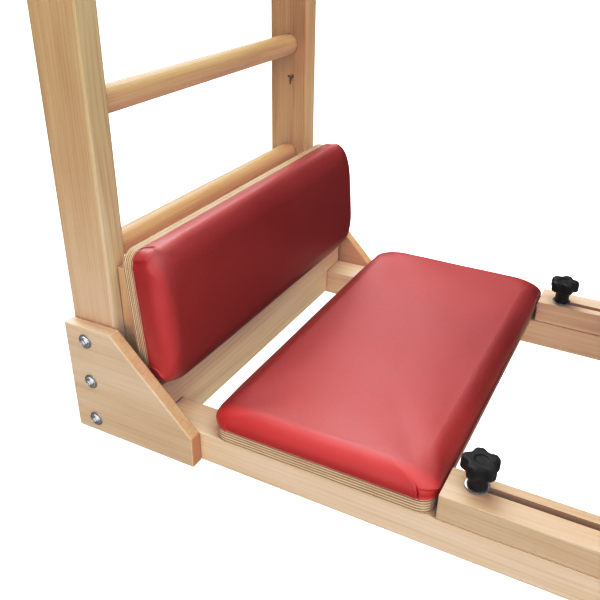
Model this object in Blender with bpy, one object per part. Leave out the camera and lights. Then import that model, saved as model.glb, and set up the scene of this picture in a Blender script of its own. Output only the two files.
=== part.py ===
"""Ladder barrel for pilates: a wooden ladder base with a leaning back pad and a
step pad, and a padded barrel on a carriage that slides in two slotted guides
and is clamped by two star knobs.

Every number below is in millimetres.  Along the object x counts from the rear
faces of the ladder posts, y counts from the centre plane (the near side is
negative) and z counts from the floor.  point() turns such a triple into the
part's own frame in metres: origin under the middle of the bounding box, +X
from the ladder to the barrel, +Z up.
"""
import math

import bmesh
import bpy
from mathutils import Vector

# ---------------------------------------------------------------- dimensions
MM = 0.001
GAP = 0.3                    # between neighbours that touch
LENGTH = 1290.0              # overall, barrel closed
HALF = 315.0                 # centre plane to the outer face of a post

POST_DEPTH = 76.0
POST_WIDTH = 40.0
POST_HEIGHT = 975.0
EDGE = 3.0                   # rounding of the solid wood edges

RUNG_R = 19.0
RUNG_X = 38.0
RUNG_FIRST_Z = 284.0
RUNG_STEP = 209.0
RUNG_COUNT = 4
RUNG_TENON = 20.0            # depth of a rung in its post

RAIL_WIDTH = 60.0
RAIL_HEIGHT = 50.0
RAIL_END_X = 1010.0

GUSSET_T = 21.0
GUSSET_TOP = 186.0
GUSSET_TOP_X = 84.0
GUSSET_FOOT_X = 217.0
GUSSET_FOOT_Z = 50.0
GUSSET_BOLT_X = 37.5
GUSSET_BOLT_Z = (24.0, 93.0, 163.5)

KICK_X = (122.5, 144.5)
KICK_Z = (4.0, 101.0)
KICK_EAR_Y = 308.0

PAD_TILT = math.radians(4.4)     # the back pad's foot is kicked out
PAD_TOP = (96.2, 306.0)          # rear top edge of its board, x and z
PAD_HEIGHT = 202.0
PAD_HALF = 307.0
PAD_BOARD_T = 18.0
PAD_CUSHION_T = 52.0
PAD_CORNER = 22.0
BATTEN_Y = (275.3, 295.0)      # one upright batten on each post
BATTEN_Z = (118.0, 276.0)

STEP_X = (241.0, 567.0)
STEP_HALF = 316.5
STEP_BOARD_T = 24.0
STEP_CUSHION_T = 33.0
STEP_CORNER = 20.0

COVER_T = 1.5                # upholstery, with its lining
CUSHION_EDGE = 20.0          # rounding of a cushion's upper edge

GUIDE_X = (572.5, RAIL_END_X)
GUIDE_TOP = 90.0
SLOT_Y = 276.0
SLOT_W = 11.0
SLOT_X = (600.0, 817.0)
GROOVE_W = 31.0
GROOVE_TOP = 70.3
GROOVE_X = 588.0

RUNNER_W = 30.0
RUNNER_X = (590.0, 1200.0)
RUNNER_Z = (50.4, 69.9)

KNOB_X = 610.5
KNOB_TOP = 134.0
KNOB_R = 25.0
KNOB_PHASE = {"near": math.radians(42.7), "far": math.radians(12.0)}
BOLT_R = 5.0

BARREL_X = 990.0
BARREL_Z = 548.0
BARREL_R = 300.0
BARREL_HALF = 240.0
BARREL_FOAM_T = 39.0
SKIN_T = 9.0
ARC = (math.radians(-35.0), math.radians(215.0))
PANEL_T = 22.0
PANEL_OUT = 235.0            # outer face of a side panel
FOOT_X = (800.0, 1119.7)
GLIDE_T = 2.7

BEAM_X = (1120.0, 1180.0)
BEAM_HALF = 300.0
BEAM_Z = (70.2, 110.0)

MID_X = LENGTH / 2.0

# ------------------------------------------------------------------ finishes
FINISH = {                   # base colour, roughness, metallic
    "maple": ((0.66, 0.44, 0.25, 1.0), 0.42, 0.0),
    "maple_warm": ((0.62, 0.36, 0.16, 1.0), 0.42, 0.0),
    "plywood": ((0.60, 0.42, 0.24, 1.0), 0.50, 0.0),
    "vinyl": ((0.50, 0.045, 0.055, 1.0), 0.38, 0.0),
    "foam": ((0.80, 0.76, 0.62, 1.0), 0.95, 0.0),
    "steel": ((0.62, 0.63, 0.65, 1.0), 0.25, 1.0),
    "plastic": ((0.018, 0.018, 0.020, 1.0), 0.45, 0.0),
    "brass": ((0.72, 0.52, 0.22, 1.0), 0.30, 1.0),
    "rubber": ((0.05, 0.05, 0.05, 1.0), 0.80, 0.0),
}

for item in list(bpy.data.objects):
    bpy.data.objects.remove(item, do_unlink=True)


# ------------------------------------------------------------------- helpers
def point(x, y, z):
    """Object millimetres to part-frame metres."""
    return Vector(((x - MID_X) * MM, y * MM, z * MM))


def new_empty(name, at, parent=None):
    empty = bpy.data.objects.new(name, None)
    bpy.context.collection.objects.link(empty)
    empty.empty_display_size = 0.05
    empty.location = at - (parent.location if parent else Vector())
    empty.parent = parent
    return empty


def make_object(name, bm, finish, origin, parent, smooth=True):
    """Turn a bmesh in part-frame metres into an object placed at origin."""
    bmesh.ops.recalc_face_normals(bm, faces=bm.faces)
    bmesh.ops.translate(bm, verts=bm.verts, vec=-origin)
    mesh = bpy.data.meshes.new(name)
    bm.to_mesh(mesh)
    bm.free()
    material = bpy.data.materials.new(name + "_finish")
    material.use_nodes = True
    colour, rough, metal = FINISH[finish]
    shader = material.node_tree.nodes["Principled BSDF"]
    shader.inputs["Base Color"].default_value = colour
    shader.inputs["Roughness"].default_value = rough
    shader.inputs["Metallic"].default_value = metal
    material.diffuse_color = colour
    mesh.materials.append(material)
    if smooth:
        mesh.shade_smooth()
        mesh.set_sharp_from_angle(angle=math.radians(35))
    obj = bpy.data.objects.new(name, mesh)
    bpy.context.collection.objects.link(obj)
    parent_at = Vector()
    node = parent
    while node is not None:
        parent_at += node.location
        node = node.parent
    obj.parent = parent
    obj.location = origin - parent_at
    return obj


def add_box(bm, lo, hi):
    a, b = point(*lo), point(*hi)
    corners = [bm.verts.new((x, y, z)) for x in (a.x, b.x)
               for y in (a.y, b.y) for z in (a.z, b.z)]
    for quad in ((0, 1, 3, 2), (4, 6, 7, 5), (0, 4, 5, 1),
                 (2, 3, 7, 6), (0, 2, 6, 4), (1, 5, 7, 3)):
        bm.faces.new([corners[i] for i in quad])


def add_prism(bm, outline, axis, lo, hi):
    """Extrude an outline; its pairs are the two axes other than `axis`."""
    def at(pair, value):
        if axis == "x":
            return point(value, pair[0], pair[1])
        if axis == "y":
            return point(pair[0], value, pair[1])
        return point(pair[0], pair[1], value)
    low = [bm.verts.new(at(p, lo)) for p in outline]
    high = [bm.verts.new(at(p, hi)) for p in outline]
    count = len(outline)
    bm.faces.new(low)
    bm.faces.new(list(reversed(high)))
    for i in range(count):
        j = (i + 1) % count
        bm.faces.new((low[i], high[i], high[j], low[j]))


def frame_for(direction):
    """Two unit vectors square to a direction."""
    d = Vector(direction).normalized()
    side = Vector((0, 0, 1)) if abs(d.z) < 0.9 else Vector((1, 0, 0))
    u = side.cross(d).normalized()
    return d, u, d.cross(u)


def add_turned(bm, base, direction, profile, segments=16, turn=0.0):
    """A solid of revolution: profile holds (height, radius) along direction."""
    d, u, v = frame_for(direction)
    start = point(*base)
    rings = []
    for height, radius in profile:
        centre = start + d * (height * MM)
        if radius <= 0.0:
            rings.append([bm.verts.new(centre)])
            continue
        ring = []
        for k in range(segments):
            a = turn + 2.0 * math.pi * k / segments
            ring.append(bm.verts.new(
                centre + (u * math.cos(a) + v * math.sin(a)) * (radius * MM)))
        rings.append(ring)
    join_rings(bm, rings, closed=False)


def join_rings(bm, rings, closed):
    """Skin consecutive rings; cap the ends unless the loop of rings closes."""
    pairs = list(zip(rings, rings[1:]))
    if closed:
        pairs.append((rings[-1], rings[0]))
    for a, b in pairs:
        n = max(len(a), len(b))
        for i in range(n):
            j = (i + 1) % n
            if len(a) == 1:
                bm.faces.new((a[0], b[i], b[j]))
            elif len(b) == 1:
                bm.faces.new((a[i], b[0], a[j]))
            else:
                bm.faces.new((a[i], b[i], b[j], a[j]))
    if not closed:
        for ring in (rings[0], rings[-1]):
            if len(ring) > 2:
                bm.faces.new(ring)


def add_tube(bm, base, direction, loop, segments=20):
    """A closed ring: loop holds (height, radius) round its cross-section."""
    d, u, v = frame_for(direction)
    start = point(*base)
    rings = []
    for height, radius in loop:
        centre = start + d * (height * MM)
        rings.append([bm.verts.new(
            centre + (u * math.cos(2 * math.pi * k / segments)
                      + v * math.sin(2 * math.pi * k / segments))
            * (radius * MM)) for k in range(segments)])
    join_rings(bm, rings, closed=True)


def bevel(obj, width, segments=2, angle=30.0):
    mod = obj.modifiers.new("edge", "BEVEL")
    mod.width = width * MM
    mod.segments = segments
    mod.limit_method = "ANGLE"
    mod.angle_limit = math.radians(angle)
    mod.use_clamp_overlap = True
    return obj


def cut(obj, build):
    """Subtract what build(bm) draws, then fix the result in the mesh."""
    bm = bmesh.new()
    build(bm)
    bmesh.ops.recalc_face_normals(bm, faces=bm.faces)
    mesh = bpy.data.meshes.new("cutter_" + obj.name)
    bm.to_mesh(mesh)
    bm.free()
    cutter = bpy.data.objects.new("cutter_" + obj.name, mesh)
    bpy.context.collection.objects.link(cutter)
    cutter.hide_render = True
    cutter.display_type = "WIRE"
    mod = obj.modifiers.new("holes", "BOOLEAN")
    mod.operation = "DIFFERENCE"
    mod.solver = "EXACT"
    mod.object = cutter
    bake(obj)
    bpy.data.objects.remove(cutter, do_unlink=True)
    return obj


def bake(obj):
    """Keep the mesh as the modifiers leave it."""
    bpy.context.view_layer.update()
    graph = bpy.context.evaluated_depsgraph_get()
    mesh = bpy.data.meshes.new_from_object(obj.evaluated_get(graph))
    obj.modifiers.clear()
    obj.data = mesh
    mesh.shade_smooth()
    mesh.set_sharp_from_angle(angle=math.radians(35))


def board(name, lo, hi, finish, parent, edge=EDGE, segments=2):
    bm = bmesh.new()
    add_box(bm, lo, hi)
    middle = (point(*lo) + point(*hi)) / 2.0
    obj = make_object(name, bm, finish, middle, parent)
    if edge:
        bevel(obj, edge, segments)
    return obj


def rounded_rectangle(half_u, half_v, radius, segments=5):
    pts = []
    for su, sv, start in ((1, 1, 0), (-1, 1, 90), (-1, -1, 180), (1, -1, 270)):
        for k in range(segments + 1):
            a = math.radians(start + 90.0 * k / segments)
            pts.append((su * (half_u - radius) + radius * math.cos(a),
                        sv * (half_v - radius) + radius * math.sin(a)))
    return pts


def cushion_rings(half_u, half_v, height, corner, edge, base, steps=4):
    """Outlines from the flat back of a cushion up over its rounded edge."""
    rings = [(base, rounded_rectangle(half_u, half_v, corner))]
    for k in range(steps + 1):
        a = math.radians(90.0 * k / steps)
        inset = edge * (1.0 - math.cos(a))
        rings.append((height - edge + edge * math.sin(a),
                      rounded_rectangle(half_u - inset, half_v - inset,
                                        max(corner - inset * 0.6, 4.0))))
    return rings


def add_cushion(bm, rings, place):
    loops = [[bm.verts.new(place(u, v, h)) for u, v in outline]
             for h, outline in rings]
    join_rings(bm, loops, closed=False)


def add_cover(bm, outer, inner, place):
    """A skin over a cushion, open at the back."""
    loops = [[bm.verts.new(place(u, v, h)) for u, v in outline]
             for h, outline in outer]
    hollow = [[bm.verts.new(place(u, v, h)) for u, v in outline]
              for h, outline in inner]
    for group in (loops, hollow):
        for a, b in zip(group, group[1:]):
            for i in range(len(a)):
                j = (i + 1) % len(a)
                bm.faces.new((a[i], b[i], b[j], a[j]))
        bm.faces.new(group[-1])
    for i in range(len(loops[0])):
        j = (i + 1) % len(loops[0])
        bm.faces.new((loops[0][i], loops[0][j], hollow[0][j], hollow[0][i]))


def side_name(side, rest):
    return ("near_" if side < 0 else "far_") + rest


def span(side, a, b):
    """Order two distances from the centre plane on one side."""
    return (min(side * a, side * b), max(side * a, side * b))


# ------------------------------------------------------------- the two bodies
base = new_empty("ladder_base", point(MID_X, 0, 0))
carriage = new_empty("barrel_carriage", point(BARREL_X, 0, 0))

# ---------------------------------------------------------------- ladder posts
RUNGS = [RUNG_FIRST_Z + RUNG_STEP * k for k in range(RUNG_COUNT)]
PAD_BOLT_Y = 285.0
PAD_BOLT_Z = {"lower": 132.0, "upper": 254.0}
FACE = HALF - POST_WIDTH                 # inner face of a post
GUSSET_BOLT_END = 281.5                  # how deep a gusset bolt goes

for side in (-1, 1):
    y0, y1 = span(side, FACE, HALF)
    post = board(side_name(side, "post"), (0, y0, 0),
                 (POST_DEPTH, y1, POST_HEIGHT), "maple", base)

    def post_holes(bm, side=side):
        for z in RUNGS:
            add_turned(bm, (RUNG_X, side * (FACE - 2.0), z), (0, side, 0),
                       ((0, RUNG_R + GAP), (2.0 + RUNG_TENON + GAP,
                                            RUNG_R + GAP)), 24)
        for z in GUSSET_BOLT_Z:
            add_turned(bm, (GUSSET_BOLT_X, side * (HALF + 2.0), z),
                       (0, -side, 0),
                       ((0, 4.3), (HALF + 2.5 - GUSSET_BOLT_END, 4.3)), 12)
        for z in PAD_BOLT_Z.values():
            add_turned(bm, (-2.0, side * PAD_BOLT_Y, z), (1, 0, 0),
                       ((0, 8.0), (9.0, 8.0), (9.0, 3.4),
                        (POST_DEPTH + 4.0, 3.4)), 12)
    cut(post, post_holes)

# ----------------------------------------------------------------------- rungs
for number, z in enumerate(RUNGS, 1):
    bm = bmesh.new()
    reach = FACE + RUNG_TENON
    add_turned(bm, (RUNG_X, -reach, z), (0, 1, 0),
               ((0, RUNG_R - 1.0), (1.0, RUNG_R), (2 * reach - 1.0, RUNG_R),
                (2 * reach, RUNG_R - 1.0)), 24)
    make_object("rung_%d" % number, bm, "maple_warm",
                point(RUNG_X, 0, z), base)

# --------------------------------------------------------------------- gussets
def gusset_outline():
    pts = [(0.0, 0.0), (GUSSET_FOOT_X, 0.0)]
    drop = math.atan2(GUSSET_TOP - GUSSET_FOOT_Z, GUSSET_FOOT_X - GUSSET_TOP_X)
    r = 7.0                              # eased corner above the foot
    reach = r * math.tan((math.pi / 2.0 - drop) / 2.0)
    for k in range(4):
        a = (math.pi / 2.0 - drop) * k / 3.0
        pts.append((GUSSET_FOOT_X - r + r * math.cos(a),
                    GUSSET_FOOT_Z - reach + r * math.sin(a)))
    pts += [(GUSSET_TOP_X, GUSSET_TOP), (0.0, GUSSET_TOP)]
    return pts


for side in (-1, 1):
    bm = bmesh.new()
    y0, y1 = span(side, HALF + GAP, HALF + GAP + GUSSET_T)
    add_prism(bm, gusset_outline(), "y", y0, y1)
    gusset = make_object(side_name(side, "gusset"), bm, "maple",
                         point(80, side * (HALF + GUSSET_T / 2), 80), base)
    bevel(gusset, 2.0, 2)

    def gusset_holes(bm, side=side):
        for z in GUSSET_BOLT_Z:
            add_turned(bm, (GUSSET_BOLT_X, side * (HALF - 2.0), z),
                       (0, side, 0), ((0, 4.3), (GUSSET_T + 5.0, 4.3)), 12)
    cut(gusset, gusset_holes)

# ---------------------------------------------------------------- gusset bolts
GUSSET_FACE = HALF + GAP + GUSSET_T
FLANGE_R, HEAD_R = 11.5, 8.5
for side in (-1, 1):
    for number, z in enumerate(GUSSET_BOLT_Z, 1):
        bm = bmesh.new()
        seat = GUSSET_FACE + GAP
        shank = seat - GUSSET_BOLT_END
        add_turned(bm, (GUSSET_BOLT_X, side * GUSSET_BOLT_END, z),
                   (0, side, 0),
                   ((0, 4.0), (shank, 4.0), (shank, FLANGE_R),
                    (shank + 1.4, FLANGE_R - 0.3), (shank + 1.6, HEAD_R),
                    (shank + 4.2, 7.6), (shank + 5.8, 4.6),
                    (shank + 5.8, 2.9), (shank + 2.4, 2.6)), 14)
        make_object(side_name(side, "gusset_bolt_%d" % number), bm, "steel",
                    point(GUSSET_BOLT_X, side * seat, z), base)

# ------------------------------------------------------------------ base rails
RAIL_MID = HALF - RAIL_WIDTH / 2.0
for side in (-1, 1):
    y0, y1 = span(side, HALF - RAIL_WIDTH, HALF)
    board(side_name(side, "base_rail"), (POST_DEPTH + GAP, y0, 0),
          (RAIL_END_X, y1, RAIL_HEIGHT), "maple", base, 2.0)


# ------------------------------------------------------------------ kick board
def kick_outline():
    low, high = KICK_Z
    inner = HALF - RAIL_WIDTH - 0.5
    pts = []
    r = 12.0
    for side in (1, -1):
        steps = range(5) if side > 0 else range(4, -1, -1)
        corner = []
        for k in steps:
            a = math.radians(-90.0 + 90.0 * k / 4.0)
            corner.append((side * (inner - r + r * math.cos(a)),
                           low + r + r * math.sin(a)))
        ear = [(side * inner, RAIL_HEIGHT + GAP),
               (side * KICK_EAR_Y, RAIL_HEIGHT + GAP),
               (side * KICK_EAR_Y, high)]
        pts += corner + ear if side > 0 else list(reversed(ear)) + corner
    return pts


bm = bmesh.new()
add_prism(bm, kick_outline(), "x", KICK_X[0], KICK_X[1])
kick = make_object("kick_board", bm, "maple", point(KICK_X[0], 0, 50), base)
bevel(kick, 1.5, 2)

# -------------------------------------------------------------------- back pad
PAD_DOWN = (math.sin(PAD_TILT), -math.cos(PAD_TILT))
PAD_OUT = (math.cos(PAD_TILT), math.sin(PAD_TILT))


def pad_place(s, y, t):
    """A point s down the board, y across it and t out of its rear face."""
    return point(PAD_TOP[0] + s * PAD_DOWN[0] + t * PAD_OUT[0], y,
                 PAD_TOP[1] + s * PAD_DOWN[1] + t * PAD_OUT[1])


def pad_rear_x(z):
    """x of the board's rear face at a height."""
    return PAD_TOP[0] + (PAD_TOP[1] - z) * math.tan(PAD_TILT)


PAD_MID = PAD_HEIGHT / 2.0

bm = bmesh.new()
outline = rounded_rectangle(PAD_HEIGHT / 2.0, PAD_HALF, PAD_CORNER)
loops = [[bm.verts.new(pad_place(PAD_MID + u * k, v * m, t))
          for u, v in outline]
         for t, k, m in ((0.0, 0.99, 0.997), (1.0, 1.0, 1.0),
                         (PAD_BOARD_T - 1.0, 1.0, 1.0),
                         (PAD_BOARD_T, 0.99, 0.997))]
join_rings(bm, loops, closed=False)
make_object("back_pad_board", bm, "plywood",
            pad_place(PAD_MID, 0, PAD_BOARD_T / 2.0), base)


def pad_cushion_place(u, v, h):
    return pad_place(PAD_MID + u, v, PAD_BOARD_T + GAP + h)


SKIN_GAP = COVER_T + GAP
outer_rings = cushion_rings(PAD_MID + 2.0, PAD_HALF + 2.0, PAD_CUSHION_T,
                            PAD_CORNER + 2.0, CUSHION_EDGE, 0.0)
hollow_rings = cushion_rings(PAD_MID + 2.0 - COVER_T,
                             PAD_HALF + 2.0 - COVER_T,
                             PAD_CUSHION_T - COVER_T, PAD_CORNER + 0.5,
                             CUSHION_EDGE - COVER_T, 0.0)
foam_rings = cushion_rings(PAD_MID + 2.0 - SKIN_GAP,
                           PAD_HALF + 2.0 - SKIN_GAP,
                           PAD_CUSHION_T - SKIN_GAP, PAD_CORNER + 0.2,
                           CUSHION_EDGE - SKIN_GAP, 0.0)
bm = bmesh.new()
add_cushion(bm, foam_rings, pad_cushion_place)
make_object("back_pad_foam", bm, "foam", pad_cushion_place(0, 0, 20), base)
bm = bmesh.new()
add_cover(bm, outer_rings, hollow_rings, pad_cushion_place)
make_object("back_pad_cover", bm, "vinyl", pad_cushion_place(0, 0, 20), base)

for side in (-1, 1):
    bm = bmesh.new()
    z0, z1 = BATTEN_Z
    front = POST_DEPTH + GAP
    section = [(front, z0), (pad_rear_x(z0) - GAP, z0),
               (pad_rear_x(z1) - GAP, z1), (front, z1)]
    add_prism(bm, section, "y", *sorted((side * BATTEN_Y[0],
                                         side * BATTEN_Y[1])))
    batten = make_object(side_name(side, "batten"), bm, "maple",
                         point(90, side * PAD_BOLT_Y, (z0 + z1) / 2.0), base)
    bevel(batten, 2.0, 2)

    def batten_holes(bm, side=side, front=front):
        for z in PAD_BOLT_Z.values():
            add_turned(bm, (front - 2.0, side * PAD_BOLT_Y, z),
                       (1, 0, 0), ((0, 3.4), (17.5, 3.4)), 12)
    cut(batten, batten_holes)

for side in (-1, 1):
    for label, z in PAD_BOLT_Z.items():
        bm = bmesh.new()
        add_turned(bm, (1.5, side * PAD_BOLT_Y, z), (1, 0, 0),
                   ((3.0, 2.5), (0, 2.5), (0, 6.6), (5.2, 6.8),
                    (5.2, 3.0), (89.0, 2.9)), 12)
        make_object(side_name(side, "pad_bolt_" + label), bm, "steel",
                    point(1.5, side * PAD_BOLT_Y, z), base)

# -------------------------------------------------------------------- step pad
STEP_MID = (STEP_X[0] + STEP_X[1]) / 2.0
STEP_LOW = RAIL_HEIGHT + GAP
STEP_TOP = STEP_LOW + STEP_BOARD_T
HALF_X = (STEP_X[1] - STEP_X[0]) / 2.0
bm = bmesh.new()
outline = rounded_rectangle(HALF_X, STEP_HALF, STEP_CORNER)
loops = [[bm.verts.new(point(STEP_MID + u * k, v * m, z)) for u, v in outline]
         for z, k, m in ((STEP_LOW, 0.994, 0.997),
                         (STEP_LOW + 1.0, 1.0, 1.0),
                         (STEP_TOP - 1.0, 1.0, 1.0),
                         (STEP_TOP, 0.994, 0.997))]
join_rings(bm, loops, closed=False)
make_object("step_board", bm, "plywood", point(STEP_MID, 0, STEP_LOW), base)


def step_place(u, v, h):
    return point(STEP_MID + u, v, STEP_TOP + GAP + h)


GROW_X, GROW_Y = 3.8, 3.0
outer_rings = cushion_rings(HALF_X + GROW_X, STEP_HALF + GROW_Y,
                            STEP_CUSHION_T, STEP_CORNER + 6.0,
                            CUSHION_EDGE, 0.0)
hollow_rings = cushion_rings(HALF_X + GROW_X - COVER_T,
                             STEP_HALF + GROW_Y - COVER_T,
                             STEP_CUSHION_T - COVER_T, STEP_CORNER + 4.5,
                             CUSHION_EDGE - COVER_T, 0.0)
foam_rings = cushion_rings(HALF_X + GROW_X - SKIN_GAP,
                           STEP_HALF + GROW_Y - SKIN_GAP,
                           STEP_CUSHION_T - SKIN_GAP, STEP_CORNER + 4.2,
                           CUSHION_EDGE - SKIN_GAP, 0.0)
bm = bmesh.new()
add_cushion(bm, foam_rings, step_place)
make_object("step_foam", bm, "foam", step_place(0, 0, 10), base)
bm = bmesh.new()
add_cover(bm, outer_rings, hollow_rings, step_place)
make_object("step_cover", bm, "vinyl", step_place(0, 0, 10), base)

# -------------------------------------------------------------- slotted guides
for side in (-1, 1):
    y0, y1 = span(side, HALF - RAIL_WIDTH, HALF)
    guide = board(side_name(side, "slotted_guide"),
                  (GUIDE_X[0], y0, RAIL_HEIGHT + GAP),
                  (GUIDE_X[1], y1, GUIDE_TOP), "maple", base, 2.0)

    def groove(bm, side=side):
        a, b = span(side, SLOT_Y - GROOVE_W / 2.0, SLOT_Y + GROOVE_W / 2.0)
        add_box(bm, (GROOVE_X, a, RAIL_HEIGHT - 5.0),
                (RAIL_END_X + 5.0, b, GROOVE_TOP))

    def slot(bm, side=side):
        r = SLOT_W / 2.0
        pts = []
        for x, start in ((SLOT_X[1] - r, -90.0), (SLOT_X[0] + r, 90.0)):
            for k in range(7):
                a = math.radians(start + 180.0 * k / 6.0)
                pts.append((x + r * math.cos(a),
                            side * SLOT_Y + r * math.sin(a)))
        add_prism(bm, pts, "z", GROOVE_TOP - 5.0, GUIDE_TOP + 5.0)
    cut(guide, groove)
    cut(guide, slot)

# ---------------------------------------------------------------- the carriage
BEAM_BOLT_X = 1150.0
for side in (-1, 1):
    y0, y1 = span(side, SLOT_Y - RUNNER_W / 2.0, SLOT_Y + RUNNER_W / 2.0)
    runner = board(side_name(side, "runner"), (RUNNER_X[0], y0, RUNNER_Z[0]),
                   (RUNNER_X[1], y1, RUNNER_Z[1]), "maple_warm", carriage, 1.0,
                   1)

    def runner_holes(bm, side=side):
        add_turned(bm, (KNOB_X, side * SLOT_Y, RUNNER_Z[0] - 2.0), (0, 0, 1),
                   ((0, 11.5), (7.5, 11.5), (7.5, BOLT_R + GAP),
                    (30.0, BOLT_R + GAP)), 16)
        add_turned(bm, (BEAM_BOLT_X, side * SLOT_Y, RUNNER_Z[0] + 2.0),
                   (0, 0, 1), ((0, 4.3), (30.0, 4.3)), 12)
    cut(runner, runner_holes)

beam = board("end_beam", (BEAM_X[0], -BEAM_HALF, BEAM_Z[0]),
             (BEAM_X[1], BEAM_HALF, BEAM_Z[1]), "maple", carriage)
PANEL_MID = PANEL_OUT - PANEL_T / 2.0
PANEL_BOLT_Z = 91.0


def beam_holes(bm):
    for side in (-1, 1):
        add_turned(bm, (BEAM_BOLT_X, side * SLOT_Y, BEAM_Z[1] + 2.0),
                   (0, 0, -1), ((0, 9.0), (9.0, 9.0), (9.0, 4.3),
                                (50.0, 4.3)), 14)
        add_turned(bm, (BEAM_X[1] + 2.0, side * PANEL_MID, PANEL_BOLT_Z),
                   (-1, 0, 0), ((0, 9.0), (9.0, 9.0), (9.0, 4.3),
                                (70.0, 4.3)), 14)


cut(beam, beam_holes)

for side in (-1, 1):
    top = BEAM_Z[1] - 1.5                # head up, threaded into the runner
    bm = bmesh.new()
    add_turned(bm, (BEAM_BOLT_X, side * SLOT_Y, top), (0, 0, -1),
               ((3.0, 2.8), (0, 2.9), (0, 7.2), (5.2, 7.4),
                (5.2, 4.0), (top - 54.0, 3.9)), 12)
    make_object(side_name(side, "runner_bolt"), bm, "steel",
                point(BEAM_BOLT_X, side * SLOT_Y, top), carriage)
    bm = bmesh.new()                     # long bolt into the panel's edge
    add_turned(bm, (BEAM_X[1] - 1.5, side * PANEL_MID, PANEL_BOLT_Z),
               (-1, 0, 0),
               ((3.0, 2.8), (0, 2.9), (0, 7.2), (5.2, 7.4),
                (5.2, 4.0), (105.0, 3.9)), 12)
    make_object(side_name(side, "beam_bolt"), bm, "steel",
                point(BEAM_X[1] - 1.5, side * PANEL_MID, PANEL_BOLT_Z),
                carriage)

# --------------------------------------------------------- barrel side panels
SKIN_OUT = BARREL_R - COVER_T - GAP - BARREL_FOAM_T - GAP
SKIN_IN = SKIN_OUT - SKIN_T
PANEL_R = SKIN_IN - GAP
ARC_STEPS = 36


def arc_points(radius, steps=ARC_STEPS):
    return [(BARREL_X + radius * math.cos(ARC[0] + (ARC[1] - ARC[0]) * k / steps),
             BARREL_Z + radius * math.sin(ARC[0] + (ARC[1] - ARC[0]) * k / steps))
            for k in range(steps + 1)]


def panel_outline():
    low = GLIDE_T + GAP
    pts = arc_points(PANEL_R)
    pts += [(FOOT_X[0], 200.0), (FOOT_X[0], low), (FOOT_X[1], low),
            (FOOT_X[1], 200.0)]
    return pts


STRETCHERS = {                           # x0, x1, z0, z1
    "front_stretcher": (812.0, 842.0, 70.0, 150.0),
    "rear_stretcher": (1075.0, 1105.0, 120.0, 200.0),
}
INSIDE = PANEL_OUT - PANEL_T - GAP


def middle_of(x0, x1, z0, z1):
    return (x0 + x1) / 2.0, (z0 + z1) / 2.0


for side in (-1, 1):
    bm = bmesh.new()
    y0, y1 = span(side, PANEL_OUT - PANEL_T, PANEL_OUT)
    add_prism(bm, panel_outline(), "y", y0, y1)
    panel = make_object(side_name(side, "barrel_panel"), bm, "plywood",
                        point(BARREL_X, side * PANEL_MID, BARREL_Z), carriage)
    bevel(panel, 1.2, 1, 40.0)

    def panel_holes(bm, side=side):
        for x, z in (middle_of(*ends) for ends in STRETCHERS.values()):
            add_turned(bm, (x, side * (PANEL_OUT - PANEL_T - 2.0), z),
                       (0, side, 0), ((0, 3.4), (PANEL_T + 4.0, 3.4)), 12)
        add_turned(bm, (FOOT_X[1] + 2.0, side * PANEL_MID, PANEL_BOLT_Z),
                   (-1, 0, 0), ((0, 4.3), (54.0, 4.3)), 12)
    cut(panel, panel_holes)

for name, (x0, x1, z0, z1) in STRETCHERS.items():
    bar = board(name, (x0, -INSIDE, z0), (x1, INSIDE, z1), "maple", carriage,
                2.0)
    x, z = middle_of(x0, x1, z0, z1)

    def bar_holes(bm, x=x, z=z):
        for side in (-1, 1):
            add_turned(bm, (x, side * (INSIDE + 2.0), z), (0, -side, 0),
                       ((0, 3.4), (42.0, 3.4)), 12)
    cut(bar, bar_holes)
    for side in (-1, 1):
        bm = bmesh.new()
        add_turned(bm, (x, side * (PANEL_OUT + GAP - 60.0), z), (0, side, 0),
                   ((0, 2.9), (60.0, 3.0), (60.0, 9.0),
                    (61.2, 8.8), (61.4, 6.6), (64.0, 4.8),
                    (64.8, 2.6), (62.0, 2.2)), 14)
        make_object(side_name(side, name.split("_")[0] + "_panel_bolt"), bm,
                    "steel", point(x, side * PANEL_OUT, z), carriage)

bm = bmesh.new()
add_prism(bm, arc_points(PANEL_R), "y", -9.0, 9.0)
make_object("centre_rib", bm, "plywood", point(BARREL_X, 0, BARREL_Z),
            carriage)

# ------------------------------------------------- bent skin, foam and cover
def add_swept(bm, section, closed_ends=True):
    """Sweep a closed section, (radius, y) pairs, along the barrel's arc."""
    stations = []
    for k in range(ARC_STEPS + 1):
        a = ARC[0] + (ARC[1] - ARC[0]) * k / ARC_STEPS
        stations.append([bm.verts.new(point(BARREL_X + r * math.cos(a), y,
                                            BARREL_Z + r * math.sin(a)))
                         for r, y in section])
    join_rings(bm, stations, closed=False)


bm = bmesh.new()
add_swept(bm, [(SKIN_IN, -236.0), (SKIN_OUT, -236.0),
               (SKIN_OUT, 236.0), (SKIN_IN, 236.0)])
make_object("barrel_skin", bm, "plywood", point(BARREL_X, 0, BARREL_Z),
            carriage)


def crown(half, top, bottom, edge, steps=2):
    """A section with rounded outer edges, going round once."""
    pts = [(bottom, -half)]
    for k in range(steps + 1):
        a = math.radians(90.0 * k / steps)
        pts.append((top - edge + edge * math.sin(a),
                    -half + edge - edge * math.cos(a)))
    for k in range(steps, -1, -1):
        a = math.radians(90.0 * k / steps)
        pts.append((top - edge + edge * math.sin(a),
                    half - edge + edge * math.cos(a)))
    pts.append((bottom, half))
    return pts


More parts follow.
